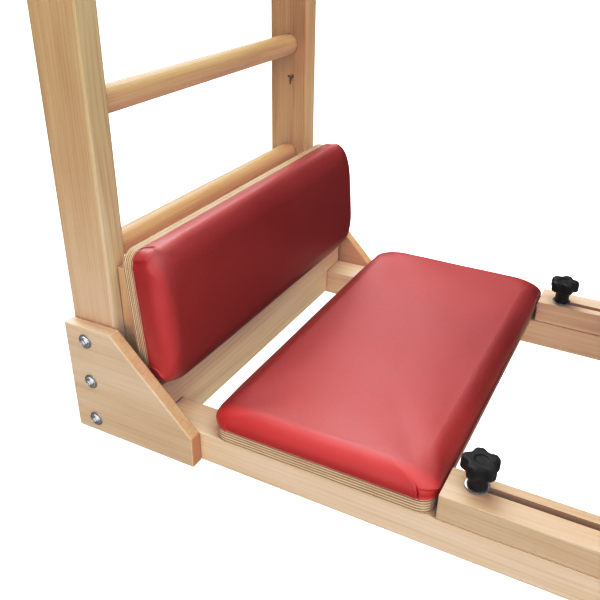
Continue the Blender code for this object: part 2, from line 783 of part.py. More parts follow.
FOAM_LOW = SKIN_OUT + GAP
bm = bmesh.new()
add_swept(bm, crown(BARREL_HALF - SKIN_GAP, BARREL_R - SKIN_GAP, FOAM_LOW,
                    CUSHION_EDGE - SKIN_GAP))
make_object("barrel_foam", bm, "foam", point(BARREL_X, 0, BARREL_Z), carriage)
outer = crown(BARREL_HALF, BARREL_R, FOAM_LOW, CUSHION_EDGE)
inner = crown(BARREL_HALF - COVER_T, BARREL_R - COVER_T, FOAM_LOW,
              CUSHION_EDGE - COVER_T)
bm = bmesh.new()
add_swept(bm, outer + list(reversed(inner)))
make_object("barrel_cover", bm, "vinyl", point(BARREL_X, 0, BARREL_Z),
            carriage)

for side in (-1, 1):                     # strips the panels slide on
    y0, y1 = span(side, PANEL_MID - 9.0, PANEL_MID + 9.0)
    board(side_name(side, "glide_strip"), (FOOT_X[0] + 4.0, y0, 0.0),
          (FOOT_X[1] - 4.0, y1, GLIDE_T), "rubber", carriage, 0.8, 1)

# ---------------------------------------------- clamp bolts, washers and knobs
for side in (-1, 1):
    low = RUNNER_Z[0] + 1.2
    bm = bmesh.new()
    add_turned(bm, (KNOB_X, side * SLOT_Y, low), (0, 0, 1),
               ((0, 6.0), (1.4, 10.0), (4.0, 10.5), (4.0, BOLT_R),
                (118.6 - low, BOLT_R), (119.6 - low, BOLT_R - 1.0)), 16)
    make_object(side_name(side, "clamp_bolt"), bm, "steel",
                point(KNOB_X, side * SLOT_Y, low), carriage)

WASHER_Z = GUIDE_TOP + GAP
WASHER_H = 2.0
HUB_Z = WASHER_Z + WASHER_H + GAP
HUB_R = 12.0
HEAD_Z = 116.0
LOBES = 5
ROUND = 30


def star(radius, phase):
    """Outline of the five-lobed head, offset to a tip radius."""
    ring = []
    for k in range(ROUND):
        a = 2.0 * math.pi * k / ROUND
        wave = 0.5 + 0.5 * math.cos(LOBES * a)
        ring.append((a + phase, radius - 6.6 * (1.0 - wave ** 0.8)))
    return ring


for side in (-1, 1):
    label = "near" if side < 0 else "far"
    axis = new_empty(label + "_knob_axis",
                     point(KNOB_X, side * SLOT_Y, WASHER_Z), carriage)
    phase = KNOB_PHASE[label]
    bm = bmesh.new()
    add_tube(bm, (KNOB_X, side * SLOT_Y, WASHER_Z), (0, 0, 1),
             ((0, BOLT_R + GAP), (0, 15.6), (0.5, 16.0), (WASHER_H, 15.8),
              (WASHER_H, BOLT_R + GAP)), 24)
    make_object(label + "_knob_washer", bm, "steel",
                point(KNOB_X, side * SLOT_Y, WASHER_Z), axis)

    bm = bmesh.new()

    def ring_at(z, radii):
        return [bm.verts.new(point(KNOB_X + r * math.cos(a),
                                   side * SLOT_Y + r * math.sin(a), z))
                for a, r in radii]

    def circle(radius):
        return [(2.0 * math.pi * k / ROUND + phase, radius)
                for k in range(ROUND)]

    rings = [ring_at(118.0, circle(0.1 + BOLT_R + GAP)),
             ring_at(112.0 + GAP, circle(0.1 + BOLT_R + GAP)),
             ring_at(112.0 + GAP, circle(7.6)),
             ring_at(HUB_Z, circle(7.6)),
             ring_at(HUB_Z, circle(HUB_R - 0.6)),
             ring_at(HUB_Z + 0.8, circle(HUB_R)),
             ring_at(HEAD_Z - 1.0, circle(HUB_R - 0.4)),
             ring_at(HEAD_Z, star(KNOB_R - 1.6, phase)),
             ring_at(HEAD_Z + 2.0, star(KNOB_R, phase)),
             ring_at(KNOB_TOP - 4.0, star(KNOB_R, phase)),
             ring_at(KNOB_TOP - 1.4, star(KNOB_R - 0.9, phase)),
             ring_at(KNOB_TOP, star(KNOB_R - 3.2, phase)),
             ring_at(KNOB_TOP, circle(8.8)),
             ring_at(KNOB_TOP - 1.5, circle(8.2))]
    # the bore goes up past the end of the bolt
    top = [bm.verts.new(point(KNOB_X, side * SLOT_Y, 121.6))]
    bore = ring_at(120.4, circle(0.1 + BOLT_R + GAP))
    join_rings(bm, [top, bore] + rings, closed=False)
    make_object(label + "_star_knob", bm, "plastic",
                point(KNOB_X, side * SLOT_Y, HUB_Z), axis)

    bm = bmesh.new()
    add_tube(bm, (KNOB_X, side * SLOT_Y, HUB_Z + 0.2), (0, 0, 1),
             ((0, BOLT_R + GAP), (0, 7.3), (19.2, 7.3),
              (19.2, BOLT_R + GAP)), 18)
    make_object(label + "_knob_insert", bm, "brass",
                point(KNOB_X, side * SLOT_Y, HUB_Z), axis)
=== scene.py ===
"""Looks for the ladder barrel: camera, light, wood, plywood, vinyl, metal and
plastic, and the upholstered cushions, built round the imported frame."""
import math

import bmesh
import bpy
import numpy as np
from mathutils import Matrix, Vector, noise
from mathutils.kdtree import KDTree


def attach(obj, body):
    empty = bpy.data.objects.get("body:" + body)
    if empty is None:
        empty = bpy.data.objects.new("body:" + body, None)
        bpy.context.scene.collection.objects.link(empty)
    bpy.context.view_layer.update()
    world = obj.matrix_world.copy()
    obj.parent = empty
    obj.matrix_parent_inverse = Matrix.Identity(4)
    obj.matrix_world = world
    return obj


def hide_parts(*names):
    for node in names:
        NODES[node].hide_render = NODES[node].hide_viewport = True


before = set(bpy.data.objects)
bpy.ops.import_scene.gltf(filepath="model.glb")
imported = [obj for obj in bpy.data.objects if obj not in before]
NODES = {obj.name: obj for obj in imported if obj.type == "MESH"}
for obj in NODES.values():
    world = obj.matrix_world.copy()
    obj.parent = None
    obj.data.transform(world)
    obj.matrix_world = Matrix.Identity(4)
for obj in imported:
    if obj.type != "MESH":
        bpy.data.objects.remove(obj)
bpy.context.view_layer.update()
BASE, CARRIAGE = "ladder_base", "barrel_carriage"
MM = 0.001
MID_X = 645.0


def P(x, y, z):
    """Millimetres (x from the posts' rear, y from the middle, z from the
    floor) to the row frame in metres."""
    return Vector(((x - MID_X) * MM, y * MM, z * MM))


# ------------------------------------------------------------------- camera
CAMERA_AT = (0.0882, -0.99877, 0.72871)
FOCAL_PX, YAW, PITCH, ROLL = 733.97, 0.4798, 0.4962, -0.0138


def make_camera():
    fwd = Vector((-math.sin(YAW) * math.cos(PITCH),
                  math.cos(YAW) * math.cos(PITCH), -math.sin(PITCH)))
    right = Vector((math.cos(YAW), math.sin(YAW), 0.0))
    down = fwd.cross(right)
    c, s = math.cos(ROLL), math.sin(ROLL)
    r2 = c * right + s * down
    d2 = -s * right + c * down
    data = bpy.data.cameras.new("camera")
    data.sensor_width = 36.0
    data.sensor_fit = "HORIZONTAL"
    data.lens = FOCAL_PX / 600.0 * 36.0
    data.clip_start, data.clip_end = 0.02, 60.0
    cam = bpy.data.objects.new("camera", data)
    bpy.context.scene.collection.objects.link(cam)
    m = Matrix.Identity(4)
    for i, axis in enumerate((r2, -d2, -fwd)):
        for k in range(3):
            m[k][i] = axis[k]
    m.translation = Vector(CAMERA_AT)
    cam.matrix_world = m
    bpy.context.scene.camera = cam


make_camera()


# ------------------------------------------------------------ node shorthand
class Graph:
    """A small helper for building material nodes."""

    def __init__(self, name):
        self.material = bpy.data.materials.new(name)
        self.material.use_nodes = True
        self.tree = self.material.node_tree
        self.shader = self.tree.nodes["Principled BSDF"]

    def node(self, kind, **settings):
        n = self.tree.nodes.new(kind)
        for key, value in settings.items():
            setattr(n, key, value)
        return n

    def put(self, socket, value):
        if isinstance(value, bpy.types.NodeSocket):
            self.tree.links.new(value, socket)
        elif value is not None:
            socket.default_value = value

    def math(self, op, a, b=None, c=None, clamp=False):
        n = self.node("ShaderNodeMath", operation=op, use_clamp=clamp)
        self.put(n.inputs[0], a)
        self.put(n.inputs[1], b)
        self.put(n.inputs[2], c)
        return n.outputs[0]

    def xyz(self, vector):
        n = self.node("ShaderNodeSeparateXYZ")
        self.put(n.inputs[0], vector)
        return n.outputs[0], n.outputs[1], n.outputs[2]

    def join(self, x, y, z):
        n = self.node("ShaderNodeCombineXYZ")
        for i, v in enumerate((x, y, z)):
            self.put(n.inputs[i], v)
        return n.outputs[0]

    def vector(self, op, a, b=None, scale=None):
        n = self.node("ShaderNodeVectorMath", operation=op)
        self.put(n.inputs[0], a)
        self.put(n.inputs[1], b)
        if scale is not None:
            self.put(n.inputs["Scale"], scale)
        return n.outputs["Value"] if op in ("DOT_PRODUCT", "LENGTH",
                                            "DISTANCE") else n.outputs[0]

    def noise(self, vector, scale, detail=2.0, rough=0.5, lacunarity=2.0):
        n = self.node("ShaderNodeTexNoise")
        self.put(n.inputs["Vector"], vector)
        n.inputs["Scale"].default_value = scale
        n.inputs["Detail"].default_value = detail
        n.inputs["Roughness"].default_value = rough
        n.inputs["Lacunarity"].default_value = lacunarity
        return n.outputs["Fac"]

    def voronoi(self, vector, scale, feature="F1", out="Distance", rand=1.0):
        n = self.node("ShaderNodeTexVoronoi", feature=feature)
        self.put(n.inputs["Vector"], vector)
        n.inputs["Scale"].default_value = scale
        n.inputs["Randomness"].default_value = rand
        return n.outputs[out]

    def ramp(self, factor, stops, interpolation="LINEAR"):
        n = self.node("ShaderNodeValToRGB")
        n.color_ramp.interpolation = interpolation
        els = n.color_ramp.elements
        while len(els) < len(stops):
            els.new(0.5)
        for e, (at, value) in zip(els, stops):
            e.position = at
            e.color = value if len(value) == 4 else (*value, 1.0)
        self.put(n.inputs[0], factor)
        return n.outputs[0]

    def spread(self, value, low, high, to_low=0.0, to_high=1.0, smooth=False):
        n = self.node("ShaderNodeMapRange")
        n.interpolation_type = "SMOOTHSTEP" if smooth else "LINEAR"
        self.put(n.inputs[0], value)
        for i, v in enumerate((low, high, to_low, to_high)):
            n.inputs[i + 1].default_value = v
        return n.outputs[0]

    def mix(self, factor, a, b, blend="MIX"):
        n = self.node("ShaderNodeMix", data_type="RGBA", blend_type=blend)
        n.clamp_factor = True
        self.put(n.inputs[0], factor)
        for socket, v in ((n.inputs[6], a), (n.inputs[7], b)):
            if isinstance(v, tuple) and len(v) == 3:
                v = (*v, 1.0)
            self.put(socket, v)
        return n.outputs[2]

    def bump(self, height, strength, distance, normal=None):
        n = self.node("ShaderNodeBump")
        n.inputs["Strength"].default_value = strength
        n.inputs["Distance"].default_value = distance
        self.put(n.inputs["Height"], height)
        if normal is not None:
            self.put(n.inputs["Normal"], normal)
        return n.outputs[0]

    def coords(self, out="Object"):
        return self.node("ShaderNodeTexCoord").outputs[out]


def srgb(r, g, b):
    """An 8-bit sRGB colour as linear values."""
    out = []
    for v in (r, g, b):
        v /= 255.0
        out.append(v / 12.92 if v <= 0.04045 else ((v + 0.055) / 1.055) ** 2.4)
    return tuple(out)


def grey(v):
    return (v, v, v)


# ----------------------------------------------------------------- materials
# Copies of one maple, toned per part for the light each part gets. The pale,
# cream, gold, far and rung tones are lightened and made more yellow as painted
# bounce light for parts in shade. The side tone is darkened a little as painted
# shade for an over-lit guide.
LIGHT_MAPLE = (srgb(221, 201, 182), srgb(210, 187, 165), srgb(191, 163, 137))
WARM_MAPLE = (srgb(219, 194, 166), srgb(207, 179, 149), srgb(185, 152, 120))
PAINTED_LIGHT_PALE_MAPLE = (srgb(236, 215, 196), srgb(225, 201, 179), srgb(206, 177, 151))
PAINTED_LIGHT_CREAM_MAPLE = (srgb(236, 223, 202), srgb(227, 212, 189), srgb(209, 190, 162))
PAINTED_LIGHT_GOLD_MAPLE = (srgb(229, 204, 177), srgb(218, 191, 164), srgb(198, 167, 136))
POST_MAPLE = (srgb(226, 203, 186), srgb(215, 189, 168), srgb(195, 164, 138))
PAINTED_LIGHT_FAR_MAPLE = (srgb(222, 204, 175), srgb(210, 188, 156), srgb(188, 158, 121))
PAINTED_LIGHT_RUNG_MAPLE = (srgb(217, 198, 167), srgb(206, 184, 153), srgb(185, 158, 122))
PAINTED_SHADE_SIDE_MAPLE = (srgb(216, 196, 176), srgb(205, 181, 158), srgb(186, 157, 131))


def grain_space(g, axis, seed, along=(0.0, 0.0, 0.0)):
    """Object coordinates with the grain on the first axis, shifted by seed."""
    x, y, z = g.xyz(g.coords())
    order = {"x": (x, y, z), "y": (y, z, x), "z": (z, x, y)}[axis]
    shift = (3.1 * seed + 0.37, 1.7 * seed + 0.11, 2.3 * seed + 0.53)
    return [g.math("ADD", v, s) for v, s in zip(order, shift)], order


def wood_colour(g, axis, seed, tones, heart=(0.11, 0.07), ring=0.0042,
                figure=1.0):
    """Solid maple: growth rings cut by the board, fibre streaks, flecks and
    slow changes of tone.  Returns colour and a fibre height."""
    (a, u, v), (a0, u0, v0) = grain_space(g, axis, seed)
    light, mid, dark = tones
    # the board wanders off the tree's axis, and the rings are not round
    slow = g.join(g.math("MULTIPLY", a, 1.1), g.math("MULTIPLY", u, 4.0),
                  g.math("MULTIPLY", v, 4.0))
    w1 = g.noise(slow, 1.0, 2.0, 0.5)
    w2 = g.noise(g.vector("ADD", slow, (7.3, 2.9, 5.1)), 1.0, 2.0, 0.5)
    du = g.math("ADD", u0, g.math("MULTIPLY_ADD", w1, 0.055, heart[0]))
    dv = g.math("ADD", v0, g.math("MULTIPLY_ADD", w2, 0.055, heart[1]))
    radius = g.math("SQRT", g.math("ADD", g.math("MULTIPLY", du, du),
                                   g.math("MULTIPLY", dv, dv)))
    phase = g.math("FRACT", g.math("DIVIDE", radius, ring))
    rings = g.ramp(phase, ((0.0, grey(0.0)), (0.55, grey(0.12)),
                           (0.86, grey(0.62)), (0.93, grey(1.0)),
                           (1.0, grey(0.05))))
    strength = g.spread(g.noise(slow, 2.6, 2.0), 0.3, 0.7, 0.25, 0.85)
    rings = g.math("MULTIPLY", rings, strength)
    fibre = g.noise(g.join(g.math("MULTIPLY", a, 7.0),
                           g.math("MULTIPLY", u, 330.0),
                           g.math("MULTIPLY", v, 330.0)), 1.0, 3.0, 0.6)
    streak = g.noise(g.join(g.math("MULTIPLY", a, 2.2),
                            g.math("MULTIPLY", u, 62.0),
                            g.math("MULTIPLY", v, 62.0)), 1.0, 3.0, 0.55)
    fleck = g.noise(g.join(g.math("MULTIPLY", a, 120.0),
                           g.math("MULTIPLY", u, 900.0),
                           g.math("MULTIPLY", v, 900.0)), 1.0, 2.0, 0.5)
    fleck = g.spread(fleck, 0.62, 0.76, 0.0, 1.0)
    slow_tone = g.noise(g.join(g.math("MULTIPLY", a, 3.0),
                               g.math("MULTIPLY", u, 11.0),
                               g.math("MULTIPLY", v, 11.0)), 1.0, 2.0, 0.5)
    value = g.math("MULTIPLY", rings, 0.34 * figure)
    value = g.math("MULTIPLY_ADD", g.spread(streak, 0.3, 0.72), 0.36, value)
    value = g.math("MULTIPLY_ADD", g.spread(fibre, 0.3, 0.7), 0.26, value)
    value = g.math("MULTIPLY_ADD", g.spread(slow_tone, 0.32, 0.68), 0.25,
                   value)
    colour = g.ramp(value, ((0.10, light), (0.52, mid), (1.05, dark)))
    colour = g.mix(g.math("MULTIPLY", fleck, 0.34), colour, dark)
    # end grain takes up more finish and looks deeper
    nx, ny, nz = g.xyz(g.coords("Normal"))
    along = {"x": nx, "y": ny, "z": nz}[axis]
    end = g.spread(g.math("ABSOLUTE", along), 0.72, 0.95, 0.0, 1.0, True)
    deep = g.mix(g.math("MULTIPLY", rings, 0.8), tones[1], tones[2])
    colour = g.mix(g.math("MULTIPLY", end, 0.65), colour,
                   g.mix(0.35, deep, srgb(172, 118, 66)))
    height = g.math("ADD", g.math("MULTIPLY", fibre, 0.6),
                    g.math("MULTIPLY", rings, 0.25))
    return colour, height, end


def wood(name, axis, seed, tones=LIGHT_MAPLE, heart=(0.11, 0.07), ring=0.0042,
         figure=1.0, knots=(), cracks_and_gap_shadow=(), painted_light_by_facing=None, painted_shade_by_height=None):
    g = Graph(name)
    colour, height, end = wood_colour(g, axis, seed, tones, heart, ring,
                                      figure)
    if name.startswith("rung"):
        # painted light: the tops are darkened and the undersides made pale, which
        # flattens the rungs' shading
        facing = g.xyz(g.coords("Normal"))[2]
        colour = g.mix(g.spread(facing, 0.0, 1.0, 0.0, 0.26), colour,
                       srgb(160, 122, 84))
        colour = g.mix(g.spread(facing, -1.0, 0.1, 0.62, 0.0), colour,
                       srgb(248, 234, 212))
    if painted_light_by_facing is not None:            # painted light and shade: faces turned one way are toned lighter on some parts and darker on others, for how the light falls on them
        side, low, tint = painted_light_by_facing
        colour = g.vector("MULTIPLY", colour, g.mix(
            g.spread(g.xyz(g.coords("Normal"))[side], low, 0.95),
            (1.0, 1.0, 1.0), tint))
    if painted_shade_by_height is not None:               # painted shade: darker towards the top, standing in for less bounce light from the floor there
        z0, z1, tint = painted_shade_by_height
        colour = g.vector("MULTIPLY", colour, g.mix(
            g.spread(g.xyz(g.coords())[2], z0, z1), (1.0, 1.0, 1.0), tint))
    # dark marks: real shakes in the wood, and a painted shadow for an open gap
    for at, half in cracks_and_gap_shadow:
        place = g.vector("SUBTRACT", g.coords(), tuple(at))
        wob = g.noise(g.coords(), 260.0, 2.0)
        d = g.math("MULTIPLY_ADD", wob, 0.5,
                   g.vector("LENGTH", g.vector(
                       "MULTIPLY", place, tuple(1.0 / k for k in half))))
        colour = g.mix(g.spread(d, 0.85, 1.3, 0.92, 0.0, True), colour,
                       srgb(62, 38, 24))
    for at, size in knots:
        place = g.vector("SUBTRACT", g.coords(), tuple(at))
        wob = g.noise(g.coords(), 90.0, 2.0)
        d = g.math("MULTIPLY_ADD", wob, 0.35 * size,
                   g.vector("LENGTH", g.vector("MULTIPLY", place,
                                               (1.0, 1.0, 0.62))))
        inner = g.spread(d, 0.45 * size, 0.95 * size, 1.0, 0.0, True)
        halo = g.spread(d, 0.8 * size, 2.2 * size, 1.0, 0.0, True)
        colour = g.mix(g.math("MULTIPLY", halo, 0.35), colour,
                       srgb(176, 120, 70))
        colour = g.mix(g.math("MULTIPLY", inner, 0.85), colour,
                       srgb(84, 52, 30))
    g.put(g.shader.inputs["Base Color"], colour)
    rough = g.spread(g.noise(g.coords(), 34.0, 3.0), 0.3, 0.7, 0.38, 0.48)
    rough = g.math("MULTIPLY_ADD", end, 0.14, rough)
    g.put(g.shader.inputs["Roughness"], rough)
    g.shader.inputs["Specular IOR Level"].default_value = 0.42
    g.put(g.shader.inputs["Normal"], g.bump(height, 0.22, 0.0004))
    return g.material


def plywood(name, direction, start, thickness, plies, axis, seed,
            centre=None, face_axis=None):
    """Birch plywood: veneers stacked along a direction (or along the radius
    from a centre line), so the faces show long grain and the edges stripes."""
    g = Graph(name)
    where = g.coords()
    if centre is None:
        depth = g.math("SUBTRACT", g.vector("DOT_PRODUCT", where, direction),
                       start)
    else:
        x, y, z = g.xyz(where)
        depth = g.math("SUBTRACT", g.vector("LENGTH", g.join(
            g.math("SUBTRACT", x, centre[0]), 0.0,
            g.math("SUBTRACT", z, centre[1]))), start)
    face, height, _ = wood_colour(
        g, face_axis or axis, seed,
        (srgb(230, 210, 186), srgb(219, 194, 166), srgb(201, 171, 139)),
        (0.3, 0.05), 0.011, 0.8)
    layer = g.math("DIVIDE", depth, thickness / plies)
    waver = g.noise(g.vector("MULTIPLY", where, (55.0, 55.0, 55.0)), 1.0, 2.0)
    layer = g.math("MULTIPLY_ADD", g.math("SUBTRACT", waver, 0.5), 0.34, layer)
    shifted = g.math("ADD", layer, 20.0)
    index = g.math("FLOOR", shifted)
    part = g.math("FRACT", shifted)
    odd = g.math("MODULO", index, 2.0)
    # each veneer has its own tone, which changes a little along it
    own = g.noise(g.join(g.math("MULTIPLY", index, 3.37), seed * 1.9, 0.5),
                  1.0, 1.0)
    drift = g.noise(g.vector("ADD", g.vector("MULTIPLY", where,
                                             (16.0, 16.0, 16.0)),
                             g.join(g.math("MULTIPLY", index, 5.1), 0.0,
                                    0.0)), 1.0, 2.0)
    tone = g.math("ADD", g.spread(own, 0.3, 0.7, 0.0, 0.6),
                  g.spread(drift, 0.3, 0.7, 0.0, 0.5))
    edge = g.math("ABSOLUTE", g.math("SUBTRACT", part, 0.5))
    glue = g.math("MULTIPLY", g.spread(edge, 0.36, 0.5, 0.0, 1.0),
                  g.spread(drift, 0.32, 0.62, 0.35, 1.0))
    fine = g.noise(g.vector("MULTIPLY", where, (420.0, 420.0, 420.0)), 1.0,
                   3.0, 0.6)
    pale = g.mix(tone, srgb(236, 220, 202), srgb(217, 196, 172))
    brown = g.mix(tone, srgb(204, 182, 156), srgb(160, 134, 108))
    stripes = g.mix(odd, pale, brown)
    stripes = g.mix(g.math("MULTIPLY", g.spread(fine, 0.4, 0.75), 0.28),
                    stripes, srgb(150, 120, 90))
    stripes = g.mix(g.math("MULTIPLY", glue, 0.70), stripes,
                    srgb(112, 88, 68))
    # the outermost veneers are the faces
    normal = g.coords("Normal")
    if centre is None:
        flat = g.math("ABSOLUTE", g.vector("DOT_PRODUCT", normal, direction))
    else:
        ny = g.xyz(normal)[1]
        flat = g.math("SUBTRACT", 1.0, g.math("ABSOLUTE", ny))
    is_face = g.spread(flat, 0.55, 0.85, 0.0, 1.0, True)
    g.put(g.shader.inputs["Base Color"], g.mix(is_face, stripes, face))
    g.put(g.shader.inputs["Roughness"],
          g.math("MULTIPLY_ADD", is_face, -0.14,
                 g.spread(fine, 0.3, 0.7, 0.52, 0.66)))
    g.shader.inputs["Specular IOR Level"].default_value = 0.35
    bumps = g.math("MULTIPLY_ADD", glue, -0.6, g.math("MULTIPLY", fine, 0.4))
    g.put(g.shader.inputs["Normal"],
          g.bump(g.math("ADD", bumps, g.math("MULTIPLY", height, 0.3)), 0.3,
                 0.0004))
    return g.material


def vinyl(name, seed=0.0, kept=0.55, lift=0):
    """Red upholstery vinyl with a fine leather emboss."""
    g = Graph(name)
    where = g.vector("ADD", g.coords(), (seed, seed * 0.7, seed * 1.3))
    cells = g.voronoi(where, 620.0, "DISTANCE_TO_EDGE")
    pebble = g.spread(cells, 0.0, 0.16, 0.0, 1.0, True)
    fine = g.noise(where, 1700.0, 2.0, 0.6)
    medium = g.noise(where, 160.0, 3.0, 0.55)
    broad = g.noise(where, 9.0, 2.0, 0.5)
    tone = g.math("MULTIPLY_ADD", g.spread(medium, 0.3, 0.7), 0.45,
                  g.math("MULTIPLY", g.spread(broad, 0.3, 0.7), 0.4))
    # lift raises the red as painted light, making a brighter copy of the same
    # vinyl
    colour = g.ramp(tone, ((0.0, srgb(164 + lift, 26, 30)),
                           (0.5, srgb(171 + lift, 31, 35)),
                           (1.0, srgb(178 + lift, 37, 42))))
    # painted shade in the grooves of the leather grain
    colour = g.mix(g.math("MULTIPLY", g.math("SUBTRACT", 1.0, pebble), 0.30),
                   colour, srgb(117, 15, 20))
    # painted light: the two ends are brighter red, standing in for light on the
    # end faces
    ends = g.spread(g.math("ABSOLUTE", g.xyz(g.coords())[1]), 0.292, 0.306)
    colour = g.mix(g.math("MULTIPLY", ends, kept), colour,
                   srgb(208, 34, 37))
    g.put(g.shader.inputs["Base Color"], colour)
    g.put(g.shader.inputs["Roughness"],
          g.math("MULTIPLY_ADD", g.spread(fine, 0.3, 0.7), 0.10,
                 g.spread(broad, 0.3, 0.7, 0.40, 0.46)))
    g.shader.inputs["IOR"].default_value = 1.7
    g.shader.inputs["Specular IOR Level"].default_value = 1.0
    g.shader.inputs["Coat Weight"].default_value = 0.60
    g.shader.inputs["Coat Roughness"].default_value = 0.38
    height = g.math("MULTIPLY_ADD", pebble, 0.55, g.math(
        "MULTIPLY_ADD", fine, 0.25, g.math("MULTIPLY", medium, 0.7)))
    g.put(g.shader.inputs["Normal"], g.bump(height, 0.35, 0.00035))
    return g.material


def metal(name, colour=(0.66, 0.67, 0.69), rough=(0.16, 0.30), scale=180.0):
    g = Graph(name)
    where = g.coords()
    n = g.noise(where, scale, 4.0, 0.6)
    cloud = g.noise(where, 46.0, 2.0)
    g.put(g.shader.inputs["Base Color"],
          g.mix(g.spread(cloud, 0.3, 0.7), colour,
                tuple(0.86 * c for c in colour)))
    g.shader.inputs["Metallic"].default_value = 0.72
    g.put(g.shader.inputs["Roughness"],
          g.spread(n, 0.3, 0.7, rough[0], rough[1]))
    g.put(g.shader.inputs["Normal"],
          g.bump(g.noise(where, 1500.0, 2.0), 0.05, 0.0002))
    return g.material


def plastic(name, colour=(0.016, 0.016, 0.018), rough=(0.42, 0.55)):
    """Moulded plastic with a fine spark-eroded texture."""
    g = Graph(name)
    where = g.coords()
    grit = g.noise(where, 1900.0, 3.0, 0.65)
    soft = g.noise(where, 120.0, 2.0)
    g.put(g.shader.inputs["Base Color"],
          g.mix(g.spread(soft, 0.3, 0.7), colour,
                tuple(1.5 * c for c in colour)))
    g.put(g.shader.inputs["Roughness"],
          g.spread(soft, 0.3, 0.7, rough[0], rough[1]))
    g.shader.inputs["Specular IOR Level"].default_value = 0.32
    g.put(g.shader.inputs["Normal"], g.bump(grit, 0.28, 0.0002))
    return g.material


def wear(obj, material):
    """Give an object one material on every slot."""
    if not obj.material_slots:
        obj.data.materials.append(material)
    for s in obj.material_slots:
        s.material = material
    return obj


# ---------------------------------------------------------- materials on CAD
KNOT_AT = P(44.0, 275.0, 430.0)
WOODS = {
    "near_post": ("z", 1, POST_MAPLE, (0.13, 0.02), 0.0046, 1.0),
    "far_post": ("z", 2, PAINTED_LIGHT_FAR_MAPLE, (0.05, 0.10), 0.0046, 1.0),
    "rung_1": ("y", 3, WARM_MAPLE, (0.07, 0.03), 0.0038, 1.0),
    "rung_2": ("y", 4, PAINTED_LIGHT_RUNG_MAPLE, (0.08, 0.05), 0.0038, 0.9),
    "rung_3": ("y", 5, PAINTED_LIGHT_CREAM_MAPLE, (0.06, 0.06), 0.0038, 1.0),
    "rung_4": ("y", 6, WARM_MAPLE, (0.09, 0.02), 0.0038, 1.0),
    "near_gusset": ("x", 7, LIGHT_MAPLE, (0.30, 0.04), 0.0050, 0.7),
    "far_gusset": ("x", 8, PAINTED_LIGHT_GOLD_MAPLE, (0.22, 0.06), 0.0050, 0.7),
    "near_base_rail": ("x", 9, PAINTED_LIGHT_PALE_MAPLE, (0.12, 0.10), 0.0046, 0.9),
    "far_base_rail": ("x", 10, PAINTED_LIGHT_PALE_MAPLE, (0.09, 0.12), 0.0046, 0.9),
    "kick_board": ("y", 11, PAINTED_LIGHT_CREAM_MAPLE, (0.18, 0.05), 0.0050, 0.9),
    "near_batten": ("z", 12, WARM_MAPLE, (0.08, 0.08), 0.0042, 0.8),
    "far_batten": ("z", 13, WARM_MAPLE, (0.09, 0.06), 0.0042, 0.8),
    "near_slotted_guide": ("x", 14, PAINTED_SHADE_SIDE_MAPLE, (0.15, 0.04), 0.0044, 0.9),
    "far_slotted_guide": ("x", 15, PAINTED_LIGHT_PALE_MAPLE, (0.10, 0.08), 0.0044, 0.9),
    "near_runner": ("x", 16, WARM_MAPLE, (0.08, 0.06), 0.0040, 0.9),
    "far_runner": ("x", 17, WARM_MAPLE, (0.07, 0.09), 0.0040, 0.9),
    "end_beam": ("y", 18, LIGHT_MAPLE, (0.13, 0.06), 0.0046, 0.9),
    "front_stretcher": ("y", 19, LIGHT_MAPLE, (0.11, 0.05), 0.0046, 0.9),
    "rear_stretcher": ("y", 20, LIGHT_MAPLE, (0.10, 0.07), 0.0046, 0.9),
}
for node, (axis, seed, tones, heart, ring, figure) in WOODS.items():
    knots = ((KNOT_AT, 0.0040),) if node == "far_post" else ()
    cracks_and_gap_shadow, painted_light_by_facing, painted_shade_by_height = (), None, None
    if node == "far_post":               # a small forked shake by the knot
        cracks_and_gap_shadow = ((KNOT_AT + P(641.5, 0.0, 4.0), (0.0042, 0.004, 0.0026)),
                  (KNOT_AT + P(643.5, 0.0, -6.0), (0.0017, 0.004, 0.0068)),
                  (KNOT_AT + P(648.5, 0.0, 4.5), (0.0030, 0.004, 0.0040)))
    if node == "kick_board":             # painted shadow of an open joint over the near rail
        cracks_and_gap_shadow = ((P(144.5, -266.0, 51.6), (0.003, 0.0115, 0.0017)),)
    # painted light on the posts' +X faces, and painted shade towards their tops
    if node.endswith("_post"):
        painted_light_by_facing = (0, 0.85, (1.06, 1.24, 1.32) if node == "near_post"
                     else (1.18, 1.26, 1.42))
        painted_shade_by_height = (0.17, 0.52, (0.82, 0.81, 0.68) if node == "near_post"
                  else (0.82, 0.765, 0.66))
    # painted light and shade: the gussets' +X-facing faces toned darker and more
    # orange, for how the light falls on the slope
    if node.endswith("_gusset"):
        painted_light_by_facing = (0, 0.5, (0.93, 0.82, 0.67))
    # painted light: the rails' tops made lighter
    if node.endswith("_base_rail"):
        painted_light_by_facing = (2, 0.6, (1.04, 1.12, 1.14))
    wear(NODES[node], wood(node + "_maple", axis, seed, tones, heart, ring,
                           figure, knots, cracks_and_gap_shadow, painted_light_by_facing, painted_shade_by_height))

TILT = math.radians(4.4)
PAD_TOP = (96.2, 306.0)
PAD_DOWN = Vector((math.sin(TILT), 0.0, -math.cos(TILT)))
PAD_OUT = Vector((math.cos(TILT), 0.0, math.sin(TILT)))
PAD_ORIGIN = P(PAD_TOP[0], 0.0, PAD_TOP[1])
BARREL_X, BARREL_Z, BARREL_R, BARREL_HALF = 990.0, 548.0, 300.0, 240.0
CENTRE = P(BARREL_X, 0.0, BARREL_Z)
ARC = (math.radians(-35.0), math.radians(215.0))

